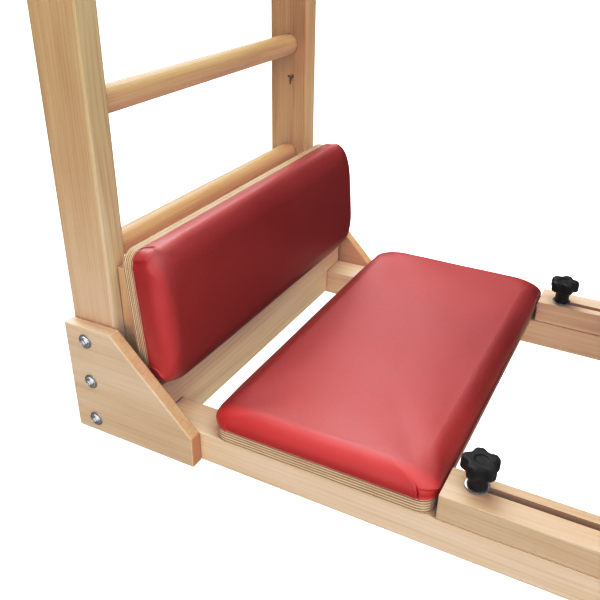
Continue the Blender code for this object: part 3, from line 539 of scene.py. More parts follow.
wear(NODES["step_board"], plywood("step_plywood", (0.0, 0.0, 1.0), 0.0503,
                                  0.024, 11, "y", 31))
wear(NODES["back_pad_board"], plywood(
    "back_pad_plywood", tuple(PAD_OUT), PAD_ORIGIN.dot(PAD_OUT), 0.018, 11,
    "y", 32))
for node, start in (("near_barrel_panel", -0.235), ("far_barrel_panel",
                                                     0.213)):
    wear(NODES[node], plywood(node + "_plywood", (0.0, 1.0, 0.0), start,
                              0.022, 13, "z", 33 + start))
wear(NODES["centre_rib"], plywood("rib_plywood", (0.0, 1.0, 0.0), -0.009,
                                  0.018, 11, "z", 35))
wear(NODES["barrel_skin"], plywood("skin_plywood", (0.0, 0.0, 0.0), 0.2499,
                                   0.009, 7, "y", 36,
                                   centre=(CENTRE.x, CENTRE.z)))
STEEL = metal("zinc_steel")
for name, obj in NODES.items():
    if "bolt" in name or name.endswith("washer"):
        wear(obj, STEEL)
    elif name.endswith("knob_insert"):
        wear(obj, metal("brass", (0.72, 0.53, 0.24), (0.2, 0.34)))
    elif name.endswith("glide_strip"):
        wear(obj, plastic("glide_plastic", (0.03, 0.03, 0.03), (0.5, 0.65)))
    elif name.endswith("star_knob"):
        wear(obj, plastic("knob_plastic"))


# ------------------------------------------------------------- mesh shorthand
def new_piece(name, verts, faces, material, smooth=True, angle=None):
    mesh = bpy.data.meshes.new(name)
    mesh.from_pydata([tuple(v) for v in verts], [], faces)
    mesh.update()
    obj = bpy.data.objects.new(name, mesh)
    bpy.context.scene.collection.objects.link(obj)
    mesh.materials.append(material)
    if smooth:
        mesh.shade_smooth()
        if angle is not None:
            mesh.set_sharp_from_angle(angle=math.radians(angle))
    return obj


def skin_rings(rings, closed=False, caps=True):
    """Vertices and faces for consecutive rings of equal length."""
    n = len(rings[0])
    verts = [v for ring in rings for v in ring]
    faces = []
    count = len(rings)
    for r in range(count if closed else count - 1):
        q = (r + 1) % count
        for i in range(n):
            j = (i + 1) % n
            faces.append((r * n + i, r * n + j, q * n + j, q * n + i))
    if caps and not closed:
        faces.append(tuple(reversed(range(n))))
        faces.append(tuple(range((count - 1) * n, count * n)))
    return verts, faces


def flip_outward(obj):
    bm = bmesh.new()
    bm.from_mesh(obj.data)
    bmesh.ops.recalc_face_normals(bm, faces=bm.faces)
    bm.to_mesh(obj.data)
    bm.free()
    obj.data.update()


# ------------------------------------------------------------------- cushions
CORNERS = ((1, 1, 0), (-1, 1, 90), (-1, -1, 180), (1, -1, 270))


def run(length, near, reach, coarse):
    """Distances along a straight side, close together near its two ends."""
    half = length / 2.0
    first = [near * k for k in range(1, int(reach / near) + 1)
             if near * k < half]
    start = first[-1] if first else 0.0
    n = max(1, int(round((half - start) / coarse)))
    first += [start + (half - start) * k / n for k in range(1, n + 1)]
    return first + [length - d for d in reversed(first[:-1])]


def perimeter(half_u, half_v, radius, near, reach, coarse, turn):
    """Points round a rounded rectangle: which corner it starts from, how far
    along the side to the next one (0 on the corner itself), outward
    direction, the nearest corner, and the distance from that corner's middle:
    negative towards the side that faces v, positive towards the one that
    faces u."""
    pts = []
    quarter = radius * math.pi / 4.0
    for index, (su, sv, start) in enumerate(CORNERS):
        sign = -1.0 if index in (0, 2) else 1.0
        for k in range(turn + 1):
            f = k / turn
            a = math.radians(start + 90.0 * f)
            pts.append((index, 0.0, math.cos(a), math.sin(a), (su, sv),
                        sign * (2.0 * f - 1.0) * quarter))
        after = CORNERS[(index + 1) % 4][:2]
        length = (2.0 * (half_u - radius) if after[0] != su
                  else 2.0 * (half_v - radius))
        a = math.radians(start + 90.0)
        for d in run(length, near, reach, coarse):
            if d >= length - 1e-6:
                continue
            first = d <= length / 2.0
            t = sign * (quarter + (d if first else length - d))
            pts.append((index, d / length, math.cos(a), math.sin(a),
                        (su, sv) if first else after, t))
    return pts


def near_segment(t, h, a, b):
    """Distance to a segment, how far along it, and which side (+1 where t is
    larger)."""
    dt, dh = b[0] - a[0], b[1] - a[1]
    length = dt * dt + dh * dh
    f = ((t - a[0]) * dt + (h - a[1]) * dh) / length
    g = min(1.0, max(0.0, f))
    d = math.hypot(t - a[0] - g * dt, h - a[1] - g * dh)
    side = (t - a[0]) * dh - (h - a[1]) * dt
    return d, f, (1.0 if side * (1.0 if dh >= 0 else -1.0) > 0 else -1.0)


def ease(x):
    x = min(1.0, max(0.0, x))
    return x * x * (3.0 - 2.0 * x)


def fold(t, h, a, b, width, depth, proud, reach):
    """A fold line from a to b (millimetres): a groove, with the cover standing
    proud by the signed amount on one side of it and tucked on the other."""
    d, f, side = near_segment(t, h, a, b)
    if d > reach + width:
        return 0.0
    fade = 1.0 - ease((f - 0.62) / 0.38)
    out = 0.0
    if d < width:
        q = d / width
        out -= depth * (1.0 - q * q) ** 2 * fade
    near = 1.0 - ease(d / reach)
    rise = ease(d / (0.8 * width))
    ends = fade if 0.0 <= f else fade * max(0.0, 1.0 - d / reach)
    if side * proud > 0:
        out += abs(proud) * near * rise * ends
    else:
        out -= 0.35 * abs(proud) * near * rise * ends
    return out


def uneven(u, v, h, seed, side, top):
    """The slight unevenness of a hand-covered pad."""
    where = Vector((u * 16.0 + seed, v * 16.0 - seed, h * 30.0))
    broad = Vector((u * 6.0 - seed, v * 6.0 + seed, h * 9.0 + 2.0))
    return side * noise.noise(where) + top * noise.noise(broad)


def puff(half_u, half_v, height, radius, edge, cell, cap, hold=None):
    """Blows up a slightly smaller copy of a cushion with cloth, held at its
    board, and returns where it began and how far each point moved, in u, v
    and h."""
    rings, faces = cushion_net(half_u, half_v, height, radius, edge,
                               (cell, 0.0, cell * 1.5, 5), cell * 0.7)
    mesh = bpy.data.meshes.new("puff")
    mesh.from_pydata([p[0] for p in rings], [], faces)
    obj = bpy.data.objects.new("puff", mesh)
    scene = bpy.context.scene
    scene.collection.objects.link(obj)
    remesh = obj.modifiers.new("remesh", "REMESH")
    remesh.mode = "VOXEL"
    remesh.voxel_size = cell
    deps = bpy.context.evaluated_depsgraph_get()
    even = bpy.data.meshes.new_from_object(obj.evaluated_get(deps))
    obj.modifiers.clear()
    obj.data = even
    start = np.empty(len(even.vertices) * 3)
    even.vertices.foreach_get("co", start)
    start = start.reshape(-1, 3)
    group = obj.vertex_groups.new(name="held")
    for k, (u, v, h) in enumerate(start):
        weight = max(0.0, min(1.0, 1.0 - (h - 0.002) / (0.30 * height)))
        if weight > 0.0:
            group.add([k], weight ** 1.5, "REPLACE")
    cloth = obj.modifiers.new("cloth", "CLOTH")
    cs = cloth.settings
    cs.quality = 5
    cs.mass = 0.3
    cs.tension_stiffness = cs.compression_stiffness = 40.0
    cs.shear_stiffness = 20.0
    cs.bending_stiffness = 3.0
    cs.use_pressure = True
    cs.uniform_pressure_force = 0.6
    cs.vertex_group_mass = "held"
    cs.effector_weights.gravity = 0.0
    cloth.collision_settings.use_collision = False
    cloth.collision_settings.use_self_collision = False
    for f in range(1, 21):
        scene.frame_set(f)
    deps = bpy.context.evaluated_depsgraph_get()
    done = obj.evaluated_get(deps).to_mesh()
    end = np.empty(len(done.vertices) * 3)
    done.vertices.foreach_get("co", end)
    end = end.reshape(-1, 3).copy()
    moved = end - start
    size = np.linalg.norm(moved, axis=1)
    size[size == 0.0] = 1.0
    # a smooth limit on how far a point may go
    moved *= (cap * np.tanh(size / cap) / size)[:, None]
    obj.evaluated_get(deps).to_mesh_clear()
    bpy.data.objects.remove(obj)
    scene.frame_set(1)
    return start, moved


def underside(points, first):
    """The bottom, in strips straight across, so that it can follow a bend."""
    uv = [points[i][0][:2] for i in first]
    n = len(uv)
    twin = [min(range(n), key=lambda j: (uv[j][0] - uv[i][0]) ** 2
                + (uv[j][1] + uv[i][1]) ** 2) for i in range(n)]
    start = next(i for i in range(n) if uv[i][1] > 0.0 >= uv[i - 1][1])
    chain = []
    while uv[(start + len(chain)) % n][1] > 0.0:
        chain.append((start + len(chain)) % n)
    edge = max(abs(u) for u, _ in uv) - 0.00001
    inner = [k for k, i in enumerate(chain) if abs(uv[i][0]) < edge]
    a, b = inner[0], inner[-1]
    runs = [chain[:a + 1]] + [chain[k:k + 2] for k in range(a, b)] + [chain[b:]]
    faces = []
    for part in runs:
        loop = part + [twin[i] for i in reversed(part)]
        faces.append(tuple(dict.fromkeys(first[i] for i in loop)))
    return [f for f in faces if len(f) > 2]


def cushion_net(half_u, half_v, height, radius, edge, spacing, step):
    """(point, normal, corner, t, inset) for each vertex of a cushion from its
    board up the side, over the rounded edge and in to the middle, and the
    faces.  The corners grow rounder on the way up."""
    near, reach, coarse, turn = spacing
    if reach <= 0.0:
        near, reach = coarse, coarse
    base = perimeter(half_u, half_v, radius, near, reach, coarse, turn)
    n = len(base)
    (wide_u, wide_v), rise = edge
    wide = 0.5 * (wide_u + wide_v)
    side = height - rise
    count = max(3, int(round(side / step)))
    profile = [(0.0, side * k / count, 1.0, 0.0) for k in range(count)]
    steps = max(8, int(round((wide + rise) * 0.785 / step)))
    for k in range(steps + 1):
        a = 0.5 * math.pi * k / steps
        profile.append((1.0 - math.cos(a), side + rise * math.sin(a),
                        math.cos(a), math.sin(a)))
    last = min(half_u - wide_u, half_v - wide_v)
    more, grow = 0.0, step * 1.6
    while more < last - 0.002:
        more = min(last, more + grow)
        if last - more < 0.45 * grow:
            more = last
        grow = min(grow * 1.35, coarse)
        profile.append((1.0 + more, height, 0.0, 1.0))
    dense = list(range(n))
    kept = [k for k in dense if abs(base[k][5]) > radius * 0.785 + reach
            or k % 4 == 0]
    points, faces, before = [], [], None
    switch = next((k for k, q in enumerate(profile) if q[0] > 1.003),
                  len(profile))
    for row, (part, h, out, up) in enumerate(profile):
        use = dense if row < switch else kept
        more = max(0.0, part - 1.0)
        in_u = wide_u * min(1.0, part) + more
        in_v = wide_v * min(1.0, part) + more
        inset = wide * min(1.0, part) + more
        bend = min(radius + 1.1 * inset, 0.85 * (half_u - in_u),
                   0.85 * (half_v - in_v))
        hold = [(su * (half_u - in_u - bend), sv * (half_v - in_v - bend))
                for su, sv, _ in CORNERS]
        ids = {}
        for k in use:
            index, f, nu, nv, corner, t = base[k]
            a, b = hold[index], hold[(index + 1) % 4]
            ids[k] = len(points)
            flat = out * rise
            rising = up * (wide_u * nu * nu + wide_v * nv * nv)
            if flat == 0.0:
                rising = 1.0
            size = math.hypot(flat, rising)
            flat, rising = flat / size, rising / size
            points.append(((a[0] + (b[0] - a[0]) * f + nu * bend,
                            a[1] + (b[1] - a[1]) * f + nv * bend, h),
                           (nu * flat, nv * flat, rising), corner, t, inset))
        if before is None:
            first = list(ids.values())
        else:
            now = list(use)
            for i, k in enumerate(now):
                nxt = now[(i + 1) % len(now)]
                if len(before) == len(ids):
                    faces.append((before[k], before[nxt], ids[nxt], ids[k]))
                else:
                    walk, q = [], k
                    while q != nxt:
                        walk.append(before[q])
                        q = (q + 1) % n
                    walk.append(before[nxt])
                    faces.append(tuple(walk + [ids[nxt], ids[k]]))
        before = ids
    return points, faces + underside(points, first)


def cushion(name, half_u, half_v, height, radius, edge, place, material,
            detail, seed, shrink=0.003, crown=0.004, swell=0.003, stop=None,
            spacing=(0.0008, 0.016, 0.0065, 46), step=0.0010, cell=0.008,
            cap=0.0150, sides=0.30, top=0.40):
    """A wrapped pad.  Cloth blown up from a slightly smaller shape gives it its
    crown and its swollen sides; folds, tucks and unevenness come after."""
    points, faces = cushion_net(half_u, half_v, height, radius, edge, spacing,
                                step)
    tree = None
    start, moved = puff(half_u - shrink, half_v - shrink,
                        height - 0.6 * shrink, radius, edge, cell, cap)
    tree = KDTree(len(start))
    for k, p in enumerate(start):
        tree.insert(p, k)
    tree.balance()
    lift = crown / max(float(np.percentile(moved[:, 2], 97)), 1e-4)
    ku, kv = 1.0 - shrink / half_u, 1.0 - shrink / half_v
    kh = 1.0 - 0.6 * shrink / height
    verts = []
    for (u, v, h), (nu, nv, nh), corner, t, inset in points:
        up = min(1.0, max(0.0, h / height))
        fu = max(0.0, 1.0 - (u / half_u) ** 2)
        fv = max(0.0, 1.0 - (v / half_v) ** 2)
        # the bottom edge stays where it is tacked to the board
        bottom = ease(h / 0.006)
        q = swell * math.sin(math.pi * min(1.0, up * 0.9 + 0.05)) * (
            0.45 + 0.55 * ease((abs(t) - 0.02) / 0.06)) * bottom
        du, dv = nu * q, nv * q
        dh = crown * (fu * fv) ** 0.5 * up ** 3
        if tree is not None:
            total, d = 0.0, np.zeros(3)
            for _, k, dist in tree.find_n((u * ku, v * kv, h * kh), 6):
                w = 1.0 / (dist + 0.0015) ** 2
                total += w
                d += w * moved[k]
            d /= total
            du += 0.30 * d[0] * lift * bottom
            dv += 0.30 * d[1] * lift * bottom
            dh += 0.45 * (d[2] * lift * up ** 3 - dh)
        extra = 0.0
        wide = 0.5 * (edge[0][0] + edge[0][1])
        if detail and inset < wide * 1.3:
            extra = detail(corner, t * 1000.0, h * 1000.0) * MM * (
                1.0 - ease((inset - wide) / (wide * 0.3)))
            if extra < 0.0:              # the board stays covered
                extra *= 0.3 + 0.7 * ease(h / 0.003)
        bumps = uneven(u, v, h, seed, sides, top) * MM * ease(h / 0.004)
        amount = extra + bumps
        u, v, h = u + du + nu * amount, v + dv + nv * amount, \
            h + dh + nh * amount
        if stop is not None:
            u, v = stop(u, v)
        verts.append(place(u, v, max(0.0, h)))
    obj = new_piece(name, verts, faces, material, True, None)
    bm = bmesh.new()
    bm.from_mesh(obj.data)
    bmesh.ops.remove_doubles(bm, verts=bm.verts, dist=0.00005)
    bmesh.ops.dissolve_degenerate(bm, edges=bm.edges, dist=0.00001)
    bmesh.ops.recalc_face_normals(bm, faces=bm.faces)
    bm.to_mesh(obj.data)
    bm.free()
    obj.data.shade_smooth()
    obj.data.set_sharp_from_angle(angle=math.radians(65.0))
    return obj


def line(h, *points):
    """t on a bent line given as (h, t) points."""
    if h <= points[0][0]:
        return points[0][1]
    for (h0, t0), (h1, t1) in zip(points, points[1:]):
        if h <= h1:
            return t0 + (t1 - t0) * (h - h0) / (h1 - h0)
    return points[-1][1]


RED = vinyl("red_vinyl")
STEP_X = (241.0, 567.0)
STEP_MID = sum(STEP_X) / 2.0
STEP_TOP = 74.3


def step_place(u, v, h):
    return Vector(((STEP_MID - MID_X) * MM + u, v, (STEP_TOP + 0.35) * MM + h))


def gathered(t, h, a, k):
    """A corner where the cover is pleated once and tucked under: a slit on
    the v side, and the cover beyond it drawn in below a rounded lip."""
    slit = fold(t, h, (-a - 2.5, -2.0), (-a, 20.0), 1.6, 3.6, -0.6, 6.0)
    top = line(t + a, (0.0, 17.0), (20.0, 14.5), (30.0, 11.0))
    across = ease((t + a - 1.0) / 1.6) * (1.0 - ease((t + a - 24.0) / 10.0))
    below = ease((top - h) / 2.8) * (0.45 + 0.55 * ease(h / 5.0))
    lip = ease((h - top + 1.5) / 1.5) * (1.0 - ease((h - top) / 8.0))
    return k * (slit + across * (0.75 * lip - 1.9 * below))


def step_detail(corner, t, h):
    if abs(t) > 60.0:
        return 0.0
    if corner == (1, -1):                # the corner nearest the knob
        return (gathered(t, h, 15.0, 1.0)
                + fold(t, h, (-29.0, -2.0), (-27.0, 10.0), 2.0, 0.5, 0.25,
                       6.0))
    if corner == (-1, -1):
        return (fold(t, h, (-22.5, -2.0), (-20.0, 16.0), 1.8, 1.3, 0.6, 8.0)
                + fold(t, h, (17.0, -2.0), (15.0, 15.0), 1.6, 1.8, -0.6, 7.0))
    if corner == (1, 1):
        return gathered(t, h, 14.0, 0.85)
    return (fold(t, h, (-19.0, -2.0), (-17.0, 17.0), 1.6, 1.9, 0.6, 8.0)
            + fold(t, h, (18.0, -2.0), (19.0, 12.0), 1.8, 0.9, -0.4, 6.0))


def step_stop(u, v):
    """Clear of the guides at its two ends, and of the posts."""
    most = 0.1672 if abs(v) > 0.246 else 0.1672 + 0.0030 * ease(
        (0.246 - abs(v)) / 0.03)
    return min(most, u), max(-0.3225, min(0.3225, v))


# the step's vinyl is a brighter copy of the pad's, lifted as painted light
step_cushion = cushion("step_cushion", 0.1658, 0.3186, 0.0327, 0.0255,
                       ((0.030, 0.026), 0.0265), step_place,
                       vinyl("step_vinyl", 1.1, 0.85, 8), step_detail, 1.7,
                       crown=0.0045, swell=0.0032, stop=step_stop)
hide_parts("step_cover", "step_foam")
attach(step_cushion, BASE)

PAD_MID_S = 0.101


def pad_place(u, v, h):
    return (PAD_ORIGIN + PAD_DOWN * (PAD_MID_S + u)
            + PAD_OUT * (0.018 + 0.00035 + h) + Vector((0.0, v, 0.0)))


def upper_fold(t, h):
    """A flap of the cover folded over the corner: a slit above it, a rim with
    a shadow below, and a smooth turn on to the front."""
    slit = line(h, (0.0, 17.0), (15.0, 24.5), (30.0, 26.0))
    rim = line(h, (0.0, -6.5), (15.0, -5.6), (22.0, -3.0), (28.0, 3.5),
               (33.0, 12.0))
    out = fold(t, h, (16.5, -3.0), (26.5, 19.0), 2.8, 8.0, 0.3, 6.0)
    width = 1.5 + 0.6 * max(0.0, h - 15.0)
    inside = ease((slit - t) / width) * ease((t - rim) / 1.2)
    level = 0.4 + 2.9 * min(1.0, max(0.0, (slit - t) / (slit - rim))) ** 1.1
    out += level * inside * (0.30 + 0.70 * ease(h / 9.0)) * (
        1.0 - ease((h - 21.0) / 13.0))
    under = ease((rim + 0.4 - t) / 1.2) * (1.0 - ease((rim - t) / 11.0))
    out -= 0.9 * under * (1.0 - ease((h - 14.0) / 14.0))
    out += fold(t, h, (-20.0, -1.0), (-22.0, 14.0), 1.8, 0.55, 0.5, 6.0)
    out += fold(t, h, (-33.0, 3.0), (-31.0, 17.0), 2.2, 0.40, 0.35, 6.0)
    return out


def lower_fold(t, h):
    """A lip running out from the board, with the cover tucked in beyond it."""
    lip = line(h, (0.0, -22.5), (15.5, -18.5), (22.0, -11.0), (28.0, -2.0),
               (34.0, 9.0))
    out = 0.9 * ease((t - lip + 5.0) / 4.0) * (1.0 - ease((t - lip) / 1.2))
    out -= 1.9 * ease((t - lip) / 1.6) * (1.0 - ease((t - lip - 12.0) / 18.0)
                                          ) * (0.5 + 0.5 * ease(h / 6.0))
    out += 5.0 * (1.0 - ease((abs(t) - 1.0) / 22.0)) * (
        1.0 - ease((h - 16.0) / 16.0))
    fade = 1.0 - ease((h - 25.0) / 12.0)
    return out * fade + fold(t, h, (14.0, -2.0), (10.0, 22.0), 1.6, 1.6, 0.5,
                             7.0)


def pad_detail(corner, t, h):
    if abs(t) > 70.0:
        return 0.0
    if corner[0] > 0:
        return lower_fold(t, h) * (1.0 if corner[1] < 0 else 0.85)
    return upper_fold(t, h) * (1.0 if corner[1] < 0 else 0.35)


def pad_stop(u, v):
    return max(-0.1070, min(0.1060, u)), max(-0.3130, min(0.3130, v))


back_cushion = cushion("back_cushion", 0.1020, 0.3080, 0.0514, 0.0232,
                       ((0.034, 0.021), 0.0300), pad_place, RED, pad_detail, 5.3,
                       crown=0.0034, swell=0.0036, stop=pad_stop)
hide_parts("back_pad_cover", "back_pad_foam")
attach(back_cushion, BASE)

# --------------------------------------------------------------------- barrel
def around(radius, steps=220, shrink=0.0):
    """Points on the barrel's arc, in millimetres from its centre; shrink
    pulls the two ends in."""
    cut = shrink / radius
    first, last = ARC[0] + cut, ARC[1] - cut
    return [(radius * math.cos(first + (last - first) * k / steps),
             radius * math.sin(first + (last - first) * k / steps))
            for k in range(steps + 1)]


def slab(name, outlines, material, body, node):
    """A flat piece: (y, outline) loops joined side by side, millimetres."""
    rings = [[P(BARREL_X + x, y, BARREL_Z + z) for x, z in pts]
             for y, pts in outlines]
    verts, faces = skin_rings(rings)
    obj = new_piece(name, verts, faces, material, True, 30)
    flip_outward(obj)
    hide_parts(node)
    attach(obj, body)
    return obj


def bevelled(y0, y1, outline, edge):
    """Loops for a slab with eased edges."""
    c = edge * 0.3
    return [(y0, outline(edge)), (y0 + c, outline(c)), (y0 + edge,
            outline(0.0)), (y1 - edge, outline(0.0)), (y1 - c, outline(c)),
            (y1, outline(edge))]


def panel_loop(inset):
    k = inset
    side = around(PANEL_R - k)
    foot = [(-190.0 + k, -348.0 + 0.1 * k), (-190.0 + k, -545.0 + k),
            (129.7 - k, -545.0 + k), (129.7 - k, -348.0 + 0.1 * k)]
    return side + foot


def rib_loop(inset):
    return around(PANEL_R - inset, 220, 2.0 * inset)


PANEL_R = 249.6
SKIN_IN, SKIN_OUT = 249.9, 258.9
for word, y0 in (("near", -235.0), ("far", 213.0)):
    slab(word + "_side_panel", bevelled(y0, y0 + 22.0, panel_loop, 1.6),
         plywood(word + "_side_plywood", (0.0, 1.0, 0.0), y0 * MM, 0.022, 13,
                 "z", 33 + y0 * MM), CARRIAGE, word + "_barrel_panel")
slab("middle_rib", bevelled(-9.0, 9.0, rib_loop, 1.2),
     plywood("middle_rib_plywood", (0.0, 1.0, 0.0), -0.009, 0.018, 11, "z",
             35), CARRIAGE, "centre_rib")


def skin_loop(inset):
    outer = around(SKIN_OUT - inset, 220, inset)
    inner = around(SKIN_IN + inset, 220, inset)
    return outer + list(reversed(inner))


slab("bent_skin", bevelled(-236.0, 236.0, skin_loop, 0.9),
     plywood("bent_plywood", (0.0, 0.0, 0.0), 0.2499, 0.009, 7, "y", 36,
             centre=(CENTRE.x, CENTRE.z)), CARRIAGE, "barrel_skin")

FOAM_LOW = BARREL_R - 1.5 - 0.3 - 39.0 + 0.1
ARC_MID = sum(ARC) / 2.0
ARC_HALF = (ARC[1] - ARC[0]) / 2.0


def barrel_place(u, v, h):
    """u along the arc, measured at the cover's radius."""
    a = ARC_MID + u / (BARREL_R * MM)
    r = FOAM_LOW * MM + h
    return CENTRE + Vector((r * math.cos(a), v, r * math.sin(a)))


def barrel_detail(corner, t, h):
    if abs(t) > 60.0:
        return 0.0
    return (fold(t, h, (-12.0, -2.0), (-10.5, 20.0), 1.4, 1.4, -0.6, 8.0)
            + fold(t, h, (9.0, -2.0), (8.0, 15.0), 1.6, 0.8, 0.4, 7.0))


barrel_cushion = cushion(
    "barrel_cushion", ARC_HALF * BARREL_R * MM - 0.0006, 0.2386, 0.0372,
    0.018, ((0.027, 0.027), 0.0255), barrel_place, vinyl("barrel_vinyl", 3.0),
    barrel_detail, 9.1, crown=0.0022, swell=0.0026,
    spacing=(0.0022, 0.014, 0.009, 20), step=0.0022, cell=0.011,
    sides=0.35, top=0.4)
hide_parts("barrel_cover", "barrel_foam")
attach(barrel_cushion, CARRIAGE)


# ------------------------------------------------------------------- hardware
def turned(profile, at, axis, segments=48, start=0.0):
    """Rings of points round an axis.  profile holds (height, radius) pairs, or
    (height, function of angle giving a radius); millimetres."""
    axis = Vector(axis).normalized()
    side = axis.orthogonal().normalized()
    if abs(axis.z) > 0.9:
        side = Vector((1.0, 0.0, 0.0))
    other = axis.cross(side)
    rings = []
    for height, radius in profile:
        ring = []
        for k in range(segments):
            a = 2.0 * math.pi * k / segments + start
            r = radius(a) if callable(radius) else radius
            ring.append(at + (axis * height + side * (r * math.cos(a))
                              + other * (r * math.sin(a))) * MM)
        rings.append(ring)
    return rings


def hexagon(flats):
    """Radius of a hexagon by angle, from the distance across its flats."""
    def radius(a):
        d = (a + math.pi / 6.0) % (math.pi / 3.0) - math.pi / 6.0
        return flats / 2.0 / math.cos(d)
    return radius


def arc(centre_h, centre_r, radius, first, last, steps):
    """(height, radius) pairs on an arc; 0 degrees is straight out."""
    out = []
    for k in range(steps + 1):
        a = math.radians(first + (last - first) * k / steps)
        out.append((centre_h + radius * math.sin(a),
                    centre_r + radius * math.cos(a)))
    return out


def turned_piece(name, rings, material, body, node, angle=32):
    verts, faces = skin_rings(rings)
    obj = new_piece(name, verts, faces, material, True, angle)
    flip_outward(obj)
    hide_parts(node)
    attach(obj, body)
    return obj


def socket(top, flats, depth):
    """Profile of a chamfered hex socket, from the rim down to its floor."""
    hexed = hexagon(flats)
    return [(top, flats / 2.0 * 1.155 + 0.45),
            (top - 0.45, hexed), (top - depth, hexed),
            (top - depth - 0.9, 0.35)]


def flanged_bolt(name, node, at, axis, shank, flange, head, body, material):
    """A domed button head on a broad flange, its shank going into the
    wood behind."""
    profile = [(-shank, 2.6), (-shank + 1.2, 3.9), (-0.3, 3.9),
               (0.0, flange - 0.35), (0.35, flange), (0.9, flange),
               (1.25, flange - 0.35), (1.5, head + 0.5), (1.75, head + 0.05)]
    top = 5.6
    dome = 9.0 * head / 8.5
    for k in range(0, 9):
        a = math.radians(8.0 + 50.0 * k / 8.0)
        r = head - (head - 5.1) * (1.0 - math.cos(a)) / (
            1.0 - math.cos(math.radians(58.0)))
        h = 1.9 + (top - 1.9) * math.sin(a) / math.sin(math.radians(58.0))
        profile.append((h, r))
    profile += socket(top, 8.2, 3.1)
    return turned_piece(name, turned(profile, at, axis, 48), material, body,
                        node)


def cap_bolt(name, node, at, axis, shank, head, height, body, material,
             shank_r):
    """A cylinder head with a knurled edge and a hex socket, sunk in its
    counterbore.  at is the head's outer face; axis points out of it."""
    def knurl(a):
        return head - 0.12 + 0.12 * math.cos(24.0 * a)
    profile = [(-shank, shank_r - 1.2), (-shank + 1.3, shank_r),
               (-height, shank_r), (-height, head - 0.3),
               (-height + 0.5, knurl), (-1.1, knurl), (-0.25, head - 0.8),
               (0.0, head - 1.3)]
    profile += socket(0.0, head * 0.80, 3.0)
    return turned_piece(name, turned(profile, at, axis, 96), material, body,
                        node)


BRIGHT = metal("bright_steel", (0.93, 0.94, 0.95), (0.09, 0.18), 240.0)
WASHER = metal("washer_steel", (0.50, 0.51, 0.53), (0.22, 0.32), 200.0)
DULL = metal("plain_steel", (0.60, 0.61, 0.63), (0.22, 0.36), 160.0)
for side in (-1, 1):
    word = "near" if side < 0 else "far"
    for k, z in enumerate((24.0, 93.0, 163.5), 1):
        node = "%s_gusset_bolt_%d" % (word, k)
        flanged_bolt(node + "_head", node, P(37.5, side * 336.6, z),
                     (0, side, 0), 55.1, 11.5, 8.5, BASE, BRIGHT)
    for label, z in (("lower", 132.0), ("upper", 254.0)):
        node = "%s_pad_bolt_%s" % (word, label)
        cap_bolt(node + "_head", node, P(1.5, side * 285.0, z), (-1, 0, 0),
                 89.0, 6.7, 5.2, BASE, DULL, 2.9)
    node = word + "_runner_bolt"
    cap_bolt(node + "_head", node, P(1150.0, side * 276.0, 108.5), (0, 0, 1),
             54.5, 7.3, 5.2, CARRIAGE, DULL, 3.9)
    node = word + "_beam_bolt"
    cap_bolt(node + "_head", node, P(1178.5, side * 224.0, 91.0), (1, 0, 0),
             105.0, 7.3, 5.2, CARRIAGE, DULL, 3.9)
    for label, x, z in (("front", 827.0, 110.0), ("rear", 1090.0, 160.0)):
        node = "%s_%s_panel_bolt" % (word, label)
        at = P(x, side * 235.3, z)
        profile = [(-60.0, 1.6), (-58.8, 2.9), (-0.2, 2.9), (0.0, 8.7),
                   (0.3, 9.0), (0.9, 9.0), (1.2, 8.7), (1.35, 6.9)]
        for q in range(0, 8):
            a = math.radians(6.0 + 50.0 * q / 7.0)
            profile.append((1.5 + 3.2 * math.sin(a) / math.sin(
                math.radians(56.0)), 6.6 - 2.9 * (1.0 - math.cos(a)) / (
                1.0 - math.cos(math.radians(56.0)))))
        profile += socket(4.7, 5.4, 2.3)
        turned_piece(node + "_head", turned(profile, at, (0, side, 0), 48),
                     BRIGHT, CARRIAGE, node)

# ------------------------------------------------------- washers and star knobs
KNOB_X, SLOT_Y = 610.5, 276.0
LOBE_TIP, LOBE_VALLEY = 25.0, 19.4


def lobed(offset, phase):
    """Radius of the five-lobed head by angle: broad flat-tipped lobes with
    shallow hollows between them."""
    def radius(a):
        c = math.cos(5.0 * (a - phase))
        wave = 0.5 + 0.5 * c
        wave = wave ** 0.85
        soft = wave * wave * (3.0 - 2.0 * wave)
        r = LOBE_VALLEY + (LOBE_TIP - LOBE_VALLEY) * (0.45 * wave
                                                      + 0.55 * soft)
        # a tip that is a flat of the pentagon, not a point
        return r - 0.55 * max(0.0, c) ** 8 - offset
    return radius


